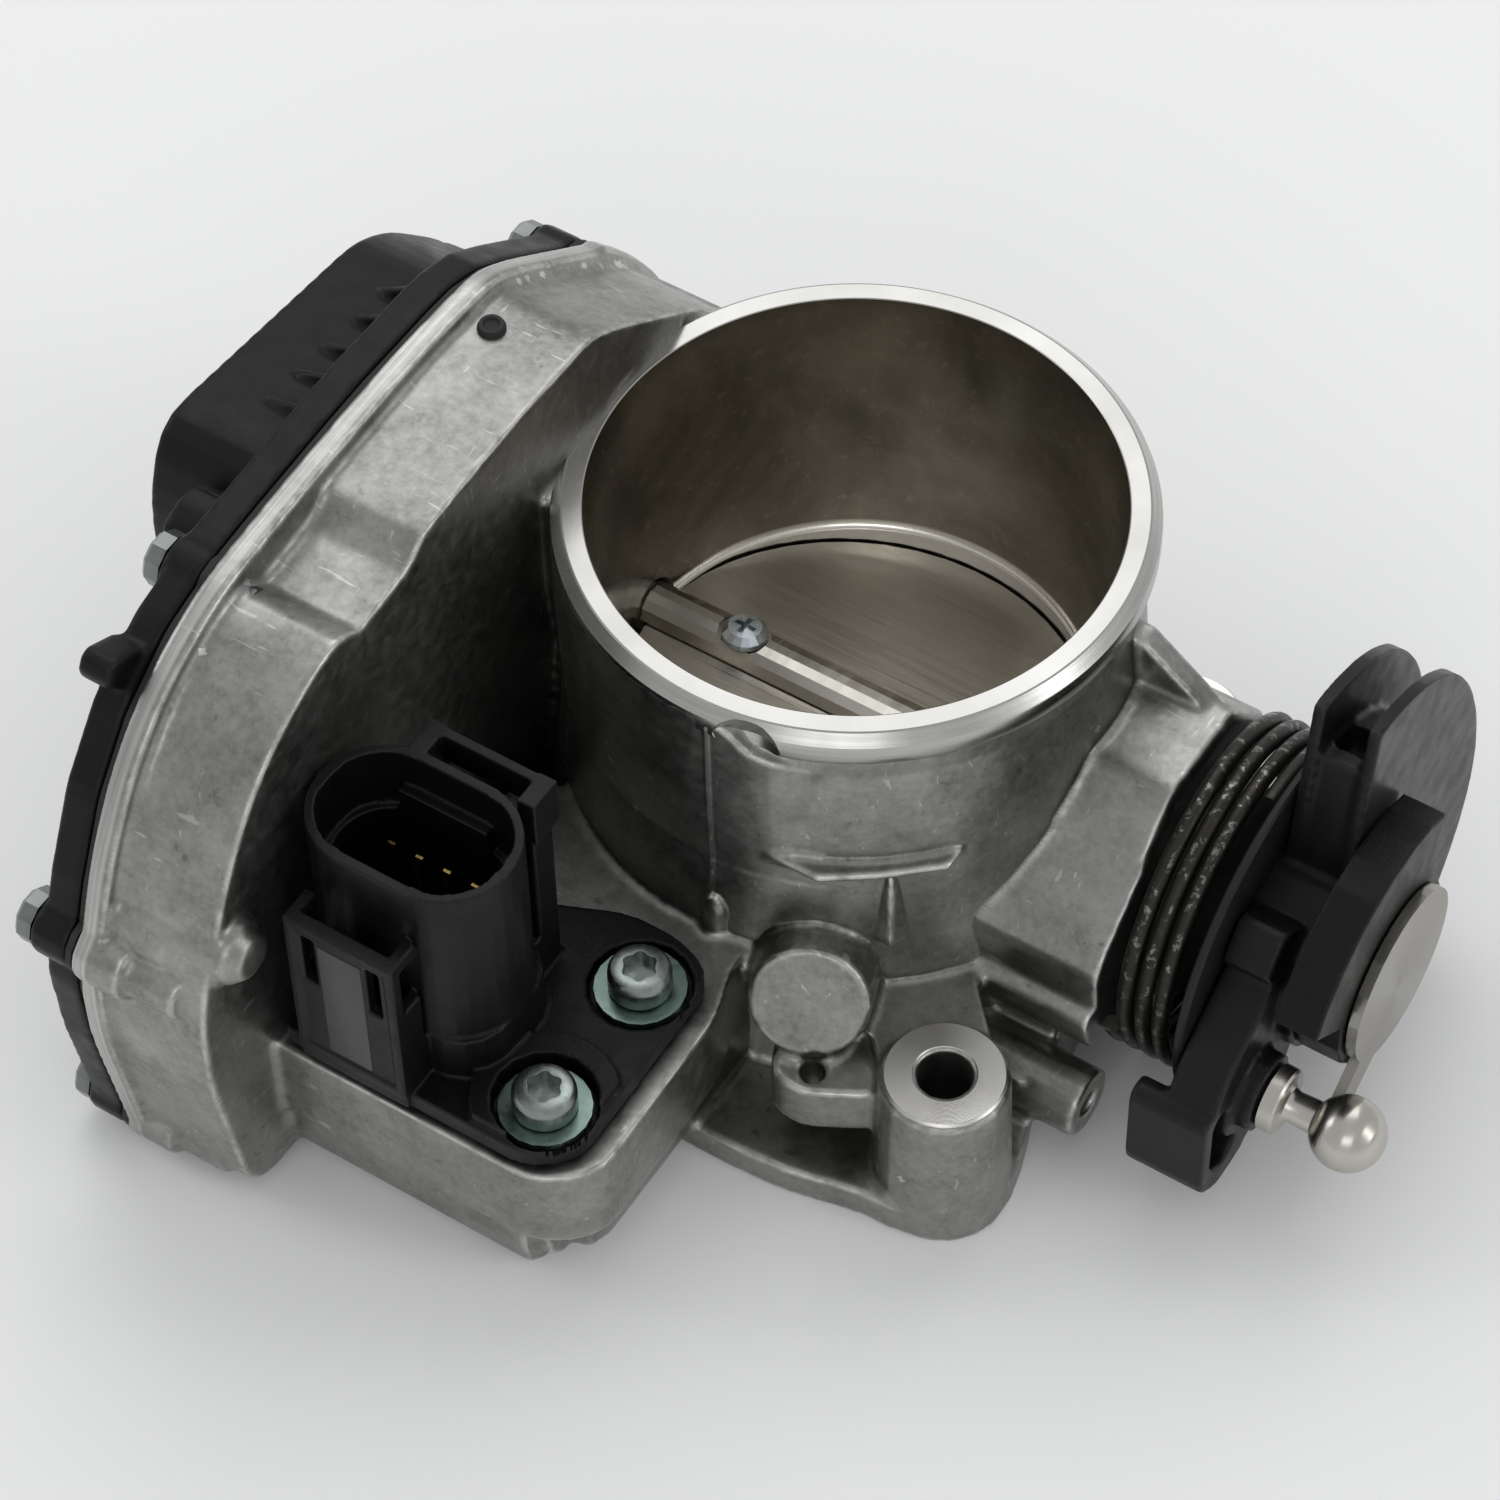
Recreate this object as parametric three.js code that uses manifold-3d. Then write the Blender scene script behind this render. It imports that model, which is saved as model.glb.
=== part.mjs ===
// Throttle body with a cable wheel, a geared idle motor and a side connector.
// Millimetres. Frame while building: the bore axis is Z through the origin, the flange face is z = 0,
// the air inlet is up, the throttle shaft runs along X and the cable wheel is on +X.
// At the end the group moves so that its origin is the bottom centre of the bounding box.
import * as THREE from "three";
import { mergeVertices } from "three/addons/utils/BufferGeometryUtils.js";
import Module from "manifold-3d";

const wasm = await Module();
wasm.setup();

// ---- clearances ----
const GAP = 0.3; // between two pieces that bear on each other
const RUN = 0.6; // round a piece that turns
const FACE = 0.2; // between clamped faces

// ---- bore and barrel ----
const HEIGHT = 70; // flange face to inlet face
const MOUTH_R = 34;
const THROAT_R = 30.9;
const THROAT_TOP = 28.2;
const RIM_R = 36.6;
const BEAD_R = 38.1;
const BEAD_H = 4.8;
const NECK_R = 35.8;
const BODY_R = 38.4;
const OUTLET_R = 31.4;

// ---- throttle shaft and plate ----
const SHAFT_Z = 28.4;
const SHAFT_R = 4;
const SHAFT_LEFT = -62;
const SHAFT_RIGHT = 77.2;
const PLATE_T = 2;
const PLATE_TILT = 8; // degrees off square to the bore when shut
const PLATE_GAP = 0.4;
const PLATE_SCREW_X = 17.4;
const PLATE_SCREW_R = 1.5;
const PLATE_HEAD_R = 3.15;

// ---- outlet flange: bolt seats [x, y, top, boss radius] ----
const FLANGE_T = 5;
const BOLT_HOLE_R = 3.6;
const BOLT_SEAT_R = 7.6;
const BOLT_SEATS = [
  [38.6, -41, 25, 9],
  [-25.5, -41, 25, 8.6],
  [31, 34.5, 10, 9],
  [-31, 38, 10, 9],
];

// ---- bearing boss on the wheel side ----
const BOSS_END = 49.3;
const BEARING_R = 8;
const BEARING_LEN = 10.4;
const SEAL_LEN = 2;

// ---- gear case: its outline in (y, z) on the gasket face ----
const CASE_X = -52.5;
const CASE_INNER_X = -34.4;
const CASE_WALL = 2.8;
const CASE_FLOOR = 4;
const LIP = 1.2;
const LIP_T = 3.4;
const CASE_OUTLINE = [
  [-90, 1.8],
  [-94.5, 32],
  [-94, 45],
  [-88.4, 60.5],
  [-82, 71.3],
  [-74, 78.8],
  [-63, 84],
  [-43, 86],
  [-21, 87],
  [-6, 86],
  [0, 82.5],
  [21.5, 67],
  [31, 52],
  [32, 12],
  [22, 1.8],
];
const LUG_R = 4.2;
const LUG_T = 7;
const COVER_LUGS = [
  [-59.5, 80.6],
  [-91.8, 45.6],
  [-87.6, 6.4],
  [-50, 5.6],
  [19, 6],
  [30.2, 44],
  [16.1, 67.2],
];
const COVER_SCREW_R = 2;
const COVER_SCREW_LEN = 12;
const GASKET_T = 0.9;

// ---- cover ----
const COVER_T = 4.6; // flange band
const COVER_WALL = 2.4;
const BULGE_X = -72.5;
const BULGE = [
  [-44, 9],
  [-48.8, 22],
  [-48.8, 74],
  [-44.5, 84.4],
  [-4, 80],
  [2.4, 76.2],
  [12, 66.5],
  [25, 50],
  [26, 15],
  [18, 8],
];

// ---- idle motor and gears ----
const MOTOR_Y = -62;
const MOTOR_Z = 15.2;
const MOTOR_R = 9.2;
const MOTOR_LEN = 31;
const BAY_BOTTOM = 0.3;
const MOTOR_SHAFT_R = 1.6;
const BRACKET_T = 1.5;
const BRACKET_SCREW_AT = 13.6;
const SECTOR_MODULE = 1.65;
const SECTOR_TEETH = 26;
const IDLER_SMALL_TEETH = 15;
const WHEEL_MODULE = 1.8;
const IDLER_LARGE_TEETH = 27;
const PINION_TEETH = 9;
const GEAR_T = 4;
const IDLER_PIN_R = 2;
const TRAVEL = 80; // degrees from shut to full open

// ---- connector ----
const PAD_TOP = 26.8;
const SEAL_T = 0.4;
const BASE_T = 3;
const SOCKET = { x0: -33.8, x1: -5.8, y0: -77.3, y1: -58.3, top: 66, floor: 41, wall: 1.6 };
const PIN_PITCH = 4.1;
const PIN_ROWS = [-65, -70.6];
const PIN_X0 = -26;
const CONNECTOR_SCREWS = [
  [1.4, -53],
  [1.4, -74.2],
];
const CONNECTOR_SCREW_R = 2.1;
const WASHER_R = 5.9;
const WASHER_T = 1.1;

// ---- return spring and cable wheel ----
const SPRING_R = 22.2;
const WIRE_R = 1.15;
const COILS = 3.7;
const COIL_PITCH = 2.5;
const SPRING_X = 49.9;
const HUB_R = 14;
const SPRING_PLATE_R = 25.4;
const SPRING_PLATE_T = 1.2;
const DISC_T = 1.7;
const GROOVE_DEPTH = 8;
const GROOVE_W = 5.8;
// Rim of the cable wheel, a cam: [degrees from +Y towards +Z, radius]
const CAM = [
  [-42, 34.7],
  [12, 34.7],
  [28, 35.4],
  [42, 36.8],
  [54, 38.4],
  [68, 39.8],
  [87, 40.8],
];
const ARM_Y = -19.4;
const ARM_Z = 20.3;
const BALL_X = 84;
const BALL_R = 4.95;
const COUPLER_T = 6;
const COUPLER_R = 22.6;
const CAP_R = 12.1;
const CAP_T = 1.4;

const deg = Math.PI / 180;
const ROUND = 44; // sides of the bore and the barrel

// ---- solids ----
function solid(geometry) {
  const g = geometry.clone();
  g.deleteAttribute("normal");
  g.deleteAttribute("uv");
  const m = mergeVertices(g, 1e-4);
  return new wasm.Manifold(
    new wasm.Mesh({
      numProp: 3,
      vertProperties: new Float32Array(m.attributes.position.array),
      triVerts: new Uint32Array(m.index.array),
    }),
  );
}

const union = (...list) => list.flat().reduce((a, b) => a.add(b));

function shapeOf(points, holes = []) {
  const shape = new THREE.Shape(points.map(([a, b]) => new THREE.Vector2(a, b)));
  for (const hole of holes) shape.holes.push(new THREE.Path(hole.map(([a, b]) => new THREE.Vector2(a, b))));
  return shape;
}

function extrude(points, depth, holes) {
  const closed = THREE.ShapeUtils.isClockWise(points.map(([a, b]) => new THREE.Vector2(a, b)))
    ? [...points].reverse()
    : points;
  return new THREE.ExtrudeGeometry(shapeOf(closed, holes), { depth, bevelEnabled: false, curveSegments: 1 });
}

const ALONG_X = new THREE.Matrix4().makeBasis(
  new THREE.Vector3(0, 1, 0),
  new THREE.Vector3(0, 0, 1),
  new THREE.Vector3(1, 0, 0),
);
const ALONG_Y = new THREE.Matrix4().makeBasis(
  new THREE.Vector3(0, 0, 1),
  new THREE.Vector3(1, 0, 0),
  new THREE.Vector3(0, 1, 0),
);

// Prisms: (y, z) points along X, (x, y) points along Z, (z, x) points along Y.
const prismX = (points, x0, x1) => solid(extrude(points, x1 - x0).applyMatrix4(ALONG_X).translate(x0, 0, 0));
const prismZ = (points, z0, z1) => solid(extrude(points, z1 - z0).translate(0, 0, z0));
const prismY = (points, y0, y1) => solid(extrude(points, y1 - y0).applyMatrix4(ALONG_Y).translate(0, y0, 0));

function box(x0, x1, y0, y1, z0, z1) {
  const g = new THREE.BoxGeometry(x1 - x0, y1 - y0, z1 - z0);
  return solid(g.translate((x0 + x1) / 2, (y0 + y1) / 2, (z0 + z1) / 2));
}

// A turned profile [radius, height] about Z or X.
function lathe(profile, segments) {
  return new THREE.LatheGeometry(profile.map(([r, h]) => new THREE.Vector2(r, h)), segments).rotateX(Math.PI / 2);
}
const turnZ = (profile, segments = 24, x = 0, y = 0) => solid(lathe(profile, segments).translate(x, y, 0));
const turnX = (profile, segments = 24, y = 0, z = SHAFT_Z) =>
  solid(lathe(profile, segments).rotateY(Math.PI / 2).translate(0, y, z));

const rodZ = (r, z0, z1, x, y, segments = 14) =>
  turnZ([[0, z0], [r, z0], [r, z1], [0, z1]], segments, x, y);
const rodX = (r, x0, x1, y = 0, z = SHAFT_Z, segments = 14) =>
  turnX([[0, x0], [r, x0], [r, x1], [0, x1]], segments, y, z);
const ringX = (r0, r1, x0, x1, y = 0, z = SHAFT_Z, segments = 18) =>
  rodX(r1, x0, x1, y, z, segments).subtract(rodX(r0, x0 - 1, x1 + 1, y, z, segments));

// ---- outlines ----
// Each corner is cut back by its radius and bridged with a short arc.
function rounded(points, radius, steps = 3) {
  const out = [];
  points.forEach((p, i) => {
    const a = points[(i + points.length - 1) % points.length];
    const b = points[(i + 1) % points.length];
    const r = Array.isArray(radius) ? radius[i] : radius;
    const la = Math.hypot(a[0] - p[0], a[1] - p[1]);
    const lb = Math.hypot(b[0] - p[0], b[1] - p[1]);
    const t = Math.min(r, la * 0.45, lb * 0.45);
    const s = [p[0] + ((a[0] - p[0]) * t) / la, p[1] + ((a[1] - p[1]) * t) / la];
    const e = [p[0] + ((b[0] - p[0]) * t) / lb, p[1] + ((b[1] - p[1]) * t) / lb];
    for (let k = 0; k <= steps; k++) {
      const u = k / steps;
      out.push([0, 1].map((c) => (1 - u) ** 2 * s[c] + 2 * u * (1 - u) * p[c] + u ** 2 * e[c]));
    }
  });
  return out;
}

// The outline moved outwards by d, each side parallel to itself.
function offset(points, d) {
  const n = points.length;
  let area = 0;
  points.forEach((p, i) => (area += p[0] * points[(i + 1) % n][1] - points[(i + 1) % n][0] * p[1]));
  const side = Math.sign(area) * d;
  const lines = points.map((p, i) => {
    const q = points[(i + 1) % n];
    const l = Math.hypot(q[0] - p[0], q[1] - p[1]);
    const nx = (q[1] - p[1]) / l;
    const ny = -(q[0] - p[0]) / l;
    return [nx, ny, nx * p[0] + ny * p[1] + side];
  });
  return lines.map(([a, b, c], i) => {
    const [p, q, r] = lines[(i + n - 1) % n];
    const det = a * q - p * b;
    return [(c * q - r * b) / det, (a * r - p * c) / det];
  });
}

function arc(r, from, to, steps, cy = 0, cz = SHAFT_Z) {
  const out = [];
  for (let k = 0; k <= steps; k++) {
    const t = (from + (steps ? ((to - from) * k) / steps : 0)) * deg;
    out.push([cy + r * Math.cos(t), cz + r * Math.sin(t)]);
  }
  return out;
}

const rect = (x0, x1, y0, y1) => [[x0, y0], [x1, y0], [x1, y1], [x0, y1]];

// ---- materials ----
const paint = (color, roughness, metalness) => new THREE.MeshStandardMaterial({ color, roughness, metalness });
const CAST = paint(0x93938f, 0.5, 0.85);
const BLACK = paint(0x1d1d1c, 0.55, 0);
const SOFT_BLACK = paint(0x141414, 0.75, 0);
const STEEL = paint(0xb4b2ab, 0.3, 1);
const BRASS = paint(0xa99c86, 0.32, 1);
const ZINC = paint(0xa9b5ad, 0.35, 1);
const SPRING = paint(0x3b3a36, 0.45, 0.8);
const GOLD = paint(0xc79a45, 0.3, 1);
const NATURAL = paint(0xd8d2c0, 0.5, 0);
const BOARD = paint(0x2c5a3a, 0.6, 0);
const GALVANISED = paint(0x8e9396, 0.4, 1);

const group = new THREE.Group();
group.name = "throttle_body";

function add(name, body, material) {
  const m = body.getMesh();
  const g = new THREE.BufferGeometry();
  g.setAttribute("position", new THREE.BufferAttribute(new Float32Array(m.vertProperties), 3));
  g.setIndex(new THREE.BufferAttribute(new Uint32Array(m.triVerts), 1));
  g.computeVertexNormals();
  const mesh = new THREE.Mesh(g, material);
  mesh.name = name;
  group.add(mesh);
  return mesh;
}

// Turns a solid about the throttle shaft.
const aboutShaft = (body, degrees) =>
  body.translate([0, 0, -SHAFT_Z]).rotate([degrees, 0, 0]).translate([0, 0, SHAFT_Z]);

// ---- shared places ----
const FLOOR_X = CASE_INNER_X - CASE_FLOOR;
const COVER_FACE = CASE_X - 2 * FACE - GASKET_T;
const COVER_OUT = COVER_FACE - COVER_T;
const caseOuter = rounded(CASE_OUTLINE, 7, 1);
const caseInner = rounded(offset(CASE_OUTLINE, -CASE_WALL), 6, 1);
const BASE_Z = PAD_TOP + 2 * FACE + SEAL_T;
const BASE_TOP = BASE_Z + BASE_T;
const WELL_Z = BASE_TOP - 1.5;
const SPRING_END = SPRING_X + COILS * COIL_PITCH + 2 * WIRE_R;
const SPRING_PLATE_X = SPRING_END + GAP;
const DISC_B = SPRING_PLATE_X + SPRING_PLATE_T + GAP;
const DISC_A = DISC_B + DISC_T + GROOVE_W;
const COUPLER_X = DISC_A + DISC_T + GAP;
const CAP_X = COUPLER_X + COUPLER_T + GAP;

// =====================================================================================
// Housing
// =====================================================================================
const barrel = turnZ(
  [
    [0, 0],
    [41, 0],
    [41, FLANGE_T],
    [40.2, 14],
    [BODY_R, 30],
    [37, 50],
    [NECK_R, 60],
    [NECK_R, HEIGHT - BEAD_H - 0.8],
    [BEAD_R - 0.8, HEIGHT - BEAD_H],
    [BEAD_R, HEIGHT - BEAD_H + 0.6],
    [BEAD_R, HEIGHT - 1.6],
    [RIM_R, HEIGHT],
    [0, HEIGHT],
  ],
  ROUND,
);
const bore = turnZ(
  [
    [0, -1],
    [OUTLET_R, -1],
    [OUTLET_R, 12],
    [THROAT_R, 15],
    [THROAT_R, THROAT_TOP],
    [THROAT_R + 0.7, THROAT_TOP + 0.3],
    [MOUTH_R - 0.2, HEIGHT - 1],
    [MOUTH_R, HEIGHT + 1],
    [0, HEIGHT + 1],
  ],
  ROUND,
);
const flange = prismZ(
  rounded(
    [
      [-36, -50],
      [8, -53.4],
      [22, -53],
      [32, -50.4],
      [40, -50.4],
      [48.2, -43],
      [46.5, -34],
      [41, -20],
      [41, 20],
      [41, 36],
      [33, 44.5],
      [-33, 48],
      [-40.5, 40],
      [-41, 0],
      [-41, -40],
    ],
    5,
    2,
  ),
  0,
  FLANGE_T,
);
const boltBosses = BOLT_SEATS.map(([x, y, top, r]) => {
  const away = Math.atan2(y, x);
  const side = r - 1.6;
  const web = [1, 0.68, 0.68, 1].map((f, i) => [
    x * f + (i < 2 ? -1 : 1) * side * Math.sin(away),
    y * f + (i < 2 ? 1 : -1) * side * Math.cos(away),
  ]);
  const seat = [[0, 0], [r, 0], [r - 0.6, top - 0.8], [BOLT_SEAT_R + 0.3, top - 0.8], [BOLT_SEAT_R, top], [0, top]];
  return union(turnZ(seat, 18, x, y), prismZ(web, 0, top - 3));
});
const boltHoles = BOLT_SEATS.map(([x, y, top]) => rodZ(BOLT_HOLE_R, -1, top + 1, x, y, 16));

// Bearing boss on the wheel side: eight-sided, a little wider towards the spring.
const bossSection = [
  [-21.5, 19.5],
  [-22.5, 31],
  [-3.5, 47.6],
  [11, 47.6],
  [20.5, 37],
  [20.5, 17],
  [9, 6],
  [-13, 7.5],
];
const wheelBoss = union(
  prismX(rounded(bossSection, 2, 2), 24, BOSS_END),
  rodX(12, 24, BOSS_END, 0, SHAFT_Z, 18),
  // lower rib down to the flange
  prismX(
    rounded(
      [
        [-21, 3],
        [-20.6, 17.6],
        [-12, 8],
        [9, 8],
        [18, 15],
        [18, 3],
      ],
      1.5,
      1,
    ),
    24,
    43.5,
  ),
);
// Pilot bosses under the wheel, and the one for the stop screw.
const STOP_Y = -25.5;
const STOP_Z = 8.4;
const stopBoss = union(rodX(4.8, 30, 51, STOP_Y, STOP_Z, 14), box(30, 43, STOP_Y - 4, -14, 0.5, 12));

// Round pad that faces out from the bore and a little up, and the drilled ledge under it.
const PAD_TILT = 25;
const PAD_TURN = 25;
const roundPad = solid(
  lathe([[0, -14], [8.4, -14], [7.9, -0.5], [7.4, 0], [0, 0]], 20)
    .rotateX((90 - PAD_TILT) * deg)
    .rotateZ(PAD_TURN * deg)
    .translate(19.6, -42.6, 27.6),
);
const ledge = prismZ(
  rounded(
    [
      [13, -30],
      [16, -45.6],
      [18, -49.2],
      [22.6, -49.9],
      [31.6, -45],
      [30, -28],
    ],
    2.4,
    2,
  ),
  11.5,
  19.4,
);
const LEDGE_HOLE = [22.4, -46.2];

// Gear case
const caseShell = union(
  prismX(caseOuter, CASE_X, CASE_INNER_X),
  prismX(rounded(offset(CASE_OUTLINE, LIP), 7, 1), CASE_X, CASE_X + LIP_T),
  COVER_LUGS.map(([y, z]) => rodX(LUG_R + LIP * 0.4, CASE_X, CASE_X + LUG_T, y, z, 12)),
);
const caseCavity = prismX(caseInner, CASE_X - 1, FLOOR_X);
// Solid material that stays inside the cavity round each cover screw, the idler pin and the shaft.
const IDLER = idlerPlace();
const caseBosses = union(
  COVER_LUGS.map(([y, z]) => rodX(LUG_R - 0.6, CASE_X, FLOOR_X + 0.5, y, z, 12)),
  rodX(5, FLOOR_X - 1.2, FLOOR_X + 1, IDLER[0], IDLER[1], 14),
);
const coverScrewHoles = COVER_LUGS.map(([y, z]) =>
  rodX(COVER_SCREW_R + 0.25, CASE_X - 1, CASE_X + COVER_SCREW_LEN - COVER_T - 0.6, y, z, 8),
);

// Motor bay
const BAY_R = MOTOR_R + RUN;
const bayEnd = CASE_INNER_X - CASE_FLOOR + MOTOR_LEN + 1;
const BAY = rect(-81.6, -46, BAY_BOTTOM, PAD_TOP - 2);
const motorBay = union(
  prismX(rounded(BAY, [8, 2, 2, 3], 3), CASE_INNER_X - 1, 2.2),
  prismX(rounded(offset(BAY, -1.8), [7, 2, 2, 3], 3), 2, 4.4),
);
const motorCavity = rodX(BAY_R, FLOOR_X - 0.5, bayEnd, MOTOR_Y, MOTOR_Z, 24);
const padOutline = rounded(
  [
    [CASE_INNER_X - 1, -82.4],
    [5, -82.4],
    [11.2, -77],
    [10.6, -50],
    [8, -42],
    [8, -30],
    [-30, -30],
    [CASE_INNER_X - 1, -44],
  ],
  [1, 6, 6, 6, 3, 2, 2, 2],
  3,
);
const connectorPad = union(
  prismZ(padOutline, 12.5, PAD_TOP),
  // walls that carry the pad down towards the flange
  prismZ(rounded([[-34, -76], [8.4, -76], [8.4, -34], [-34, -34]], 4, 2), 4, 13),
);
const connectorHoles = CONNECTOR_SCREWS.map(([x, y]) => rodZ(CONNECTOR_SCREW_R + 0.2, 11.5, PAD_TOP + 1, x, y, 10));
const wireWindow = box(-29, -12, SOCKET.y0 + 5, SOCKET.y1 - 4, PAD_TOP - 6, PAD_TOP + 1);

// Plug on the top of the gear case
const PLUG = [-45.8, -11.5];
const PLUG_R = 2.6;
const plugHole = rodZ(PLUG_R + 0.2, 80, 90, PLUG[0], PLUG[1], 10);

const housing = union(
  barrel,
  flange,
  boltBosses,
  wheelBoss,
  stopBoss,
  roundPad,
  ledge,
  caseShell,
  motorBay,
  connectorPad,
)
  .subtract(caseCavity)
  .add(caseBosses)
  .subtract(motorCavity)
  .subtract(bore)
  .subtract(union(boltHoles))
  .subtract(union(connectorHoles))
  .subtract(wireWindow)
  .subtract(plugHole)
  .subtract(union(coverScrewHoles))
  .subtract(rodZ(1.7, 8, 22, LEDGE_HOLE[0], LEDGE_HOLE[1], 12))
  .subtract(rodX(2, 41, 52, STOP_Y, STOP_Z, 10))
  // through hole for the shaft, then the two bearing seats
  .subtract(rodX(SHAFT_R + RUN / 2, FLOOR_X - 3, BOSS_END + 2, 0, SHAFT_Z, 18))
  .subtract(rodX(BEARING_R + GAP, BOSS_END - BEARING_LEN - SEAL_LEN - 1, BOSS_END + 1, 0, SHAFT_Z, 18))
  .subtract(rodX(BEARING_R + GAP, FLOOR_X - 2, FLOOR_X + 4.6, 0, SHAFT_Z, 18))
  .subtract(rodX(IDLER_PIN_R + GAP / 2, FLOOR_X - 3, FLOOR_X + 3, IDLER[0], IDLER[1], 12))
  // two threaded holes for the motor bracket
  .subtract(union([-1, 1].map((s) => rodX(1.7, FLOOR_X - 1, FLOOR_X + 3, MOTOR_Y + s * BRACKET_SCREW_AT, MOTOR_Z, 8))));
add("throttle_housing", housing, CAST);

// =====================================================================================
// Shaft, plate and bearings
// =====================================================================================
const cutHalf = THROAT_R - 0.2;
const shaft = aboutShaft(
  turnX([[0, SHAFT_LEFT], [SHAFT_R - 0.5, SHAFT_LEFT], [SHAFT_R, SHAFT_LEFT + 0.5], [SHAFT_R, SHAFT_RIGHT], [0, SHAFT_RIGHT]], 18)
    .subtract(box(-cutHalf, cutHalf, -6, 6, SHAFT_Z - 6, SHAFT_Z + PLATE_T / 2 + FACE))
    .subtract(union([-1, 1].map((s) => rodZ(PLATE_SCREW_R + GAP, SHAFT_Z - 6, SHAFT_Z + 6, s * PLATE_SCREW_X, 0, 12))))
    .subtract(union([-1, 1].map((s) => rodZ(PLATE_HEAD_R + 0.5, SHAFT_Z + 3.1, SHAFT_Z + 6, s * PLATE_SCREW_X, 0, 18)))),
  -PLATE_TILT,
);
add("throttle_shaft", shaft, STEEL);

const plateR = THROAT_R - PLATE_GAP;
const plateOutline = arc(1, 0, 360 - 360 / ROUND, ROUND - 1, 0, 0).map(([a, b]) => [
  plateR * a,
  (plateR / Math.cos(PLATE_TILT * deg)) * b,
]);
const plate = aboutShaft(
  prismZ(plateOutline, SHAFT_Z - PLATE_T / 2, SHAFT_Z + PLATE_T / 2).subtract(
    union([-1, 1].map((s) => rodZ(PLATE_SCREW_R + GAP, SHAFT_Z - 6, SHAFT_Z + 6, s * PLATE_SCREW_X, 0, 12))),
  ),
  -PLATE_TILT,
);
add("throttle_plate", plate, BRASS);

[-1, 1].forEach((s, i) => {
  const x = s * PLATE_SCREW_X;
  const head = SHAFT_Z + 3.1 + FACE;
  const screw = turnZ(
    [
      [0, SHAFT_Z - 2.6],
      [PLATE_SCREW_R, SHAFT_Z - 2.6],
      [PLATE_SCREW_R, head],
      [PLATE_HEAD_R, head],
      [PLATE_HEAD_R, head + 0.8],
      [PLATE_HEAD_R * 0.72, head + 1.7],
      [0, head + 2],
    ],
    16,
    x,
    0,
  );
  const drive = union(
    box(x - 1.5, x + 1.5, -0.35, 0.35, head + 0.9, head + 3),
    box(x - 0.35, x + 0.35, -1.5, 1.5, head + 0.9, head + 3),
  );
  add("plate_screw_" + (i + 1), aboutShaft(screw.subtract(drive), -PLATE_TILT), ZINC);
});

const bearingX = BOSS_END - SEAL_LEN - BEARING_LEN;
add("bearing_wheel_side", ringX(SHAFT_R + GAP, BEARING_R, bearingX - GAP, BOSS_END - SEAL_LEN - GAP), STEEL);
add("shaft_seal", ringX(SHAFT_R + GAP, BEARING_R, BOSS_END - SEAL_LEN, BOSS_END - GAP), SOFT_BLACK);
add("bearing_gear_side", ringX(SHAFT_R + GAP, BEARING_R, FLOOR_X, FLOOR_X + 4.3), STEEL);

// =====================================================================================
// Gears: straight-sided teeth with backlash
// =====================================================================================
function gearOutline(teeth, module, toothAt, y, z, from = 0, count = teeth) {
  const pitchR = (teeth * module) / 2;
  const tip = pitchR + module * 0.8;
  const root = pitchR - module * 1.05;
  const step = 360 / teeth;
  const out = [];
  for (let k = 0; k < count; k++) {
    const a = toothAt + (from + k) * step;
    for (const [r, w] of [[root, -0.3], [tip, -0.11], [tip, 0.11], [root, 0.3]]) {
      const t = (a + w * step) * deg;
      out.push([y + r * Math.cos(t), z + r * Math.sin(t)]);
    }
  }
  return out;
}

// Idler axis: both centre distances are the sums of the pitch radii.
function idlerPlace() {
  const d1 = ((SECTOR_TEETH + IDLER_SMALL_TEETH) * SECTOR_MODULE) / 2;
  const d2 = ((IDLER_LARGE_TEETH + PINION_TEETH) * WHEEL_MODULE) / 2;
  const dy = MOTOR_Y;
  const dz = MOTOR_Z - SHAFT_Z;
  const d = Math.hypot(dy, dz);
  const a = (d1 * d1 - d2 * d2 + d * d) / (2 * d);
  const h = Math.sqrt(d1 * d1 - a * a);
  return [(a * dy + h * dz) / d, SHAFT_Z + (a * dz - h * dy) / d];
}
const toIdler = Math.atan2(IDLER[1] - SHAFT_Z, IDLER[0]) / deg;
const toMotor = Math.atan2(MOTOR_Z - IDLER[1], MOTOR_Y - IDLER[0]) / deg;
const SMALL_X = FLOOR_X - 2 - GEAR_T;
const LARGE_X = SMALL_X - 2.6 - GEAR_T;

// Sector gear: its teeth cover the whole travel and a little more at each end.
const before = 1;
const sectorCount = Math.ceil(TRAVEL / (360 / SECTOR_TEETH)) + 2 * before + 1;
const sectorTeeth = gearOutline(SECTOR_TEETH, SECTOR_MODULE, toIdler, 0, SHAFT_Z, -before, sectorCount);
const sector = union(
  prismX([[0, SHAFT_Z], ...sectorTeeth], SMALL_X, SMALL_X + GEAR_T),
  rodX(8.4, SMALL_X - 2.2, SMALL_X + GEAR_T + 1, 0, SHAFT_Z, 18),
).subtract(rodX(SHAFT_R + GAP, SMALL_X - 6, SMALL_X + GEAR_T + 3, 0, SHAFT_Z, 18));
add("sector_gear", sector, NATURAL);

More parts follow.
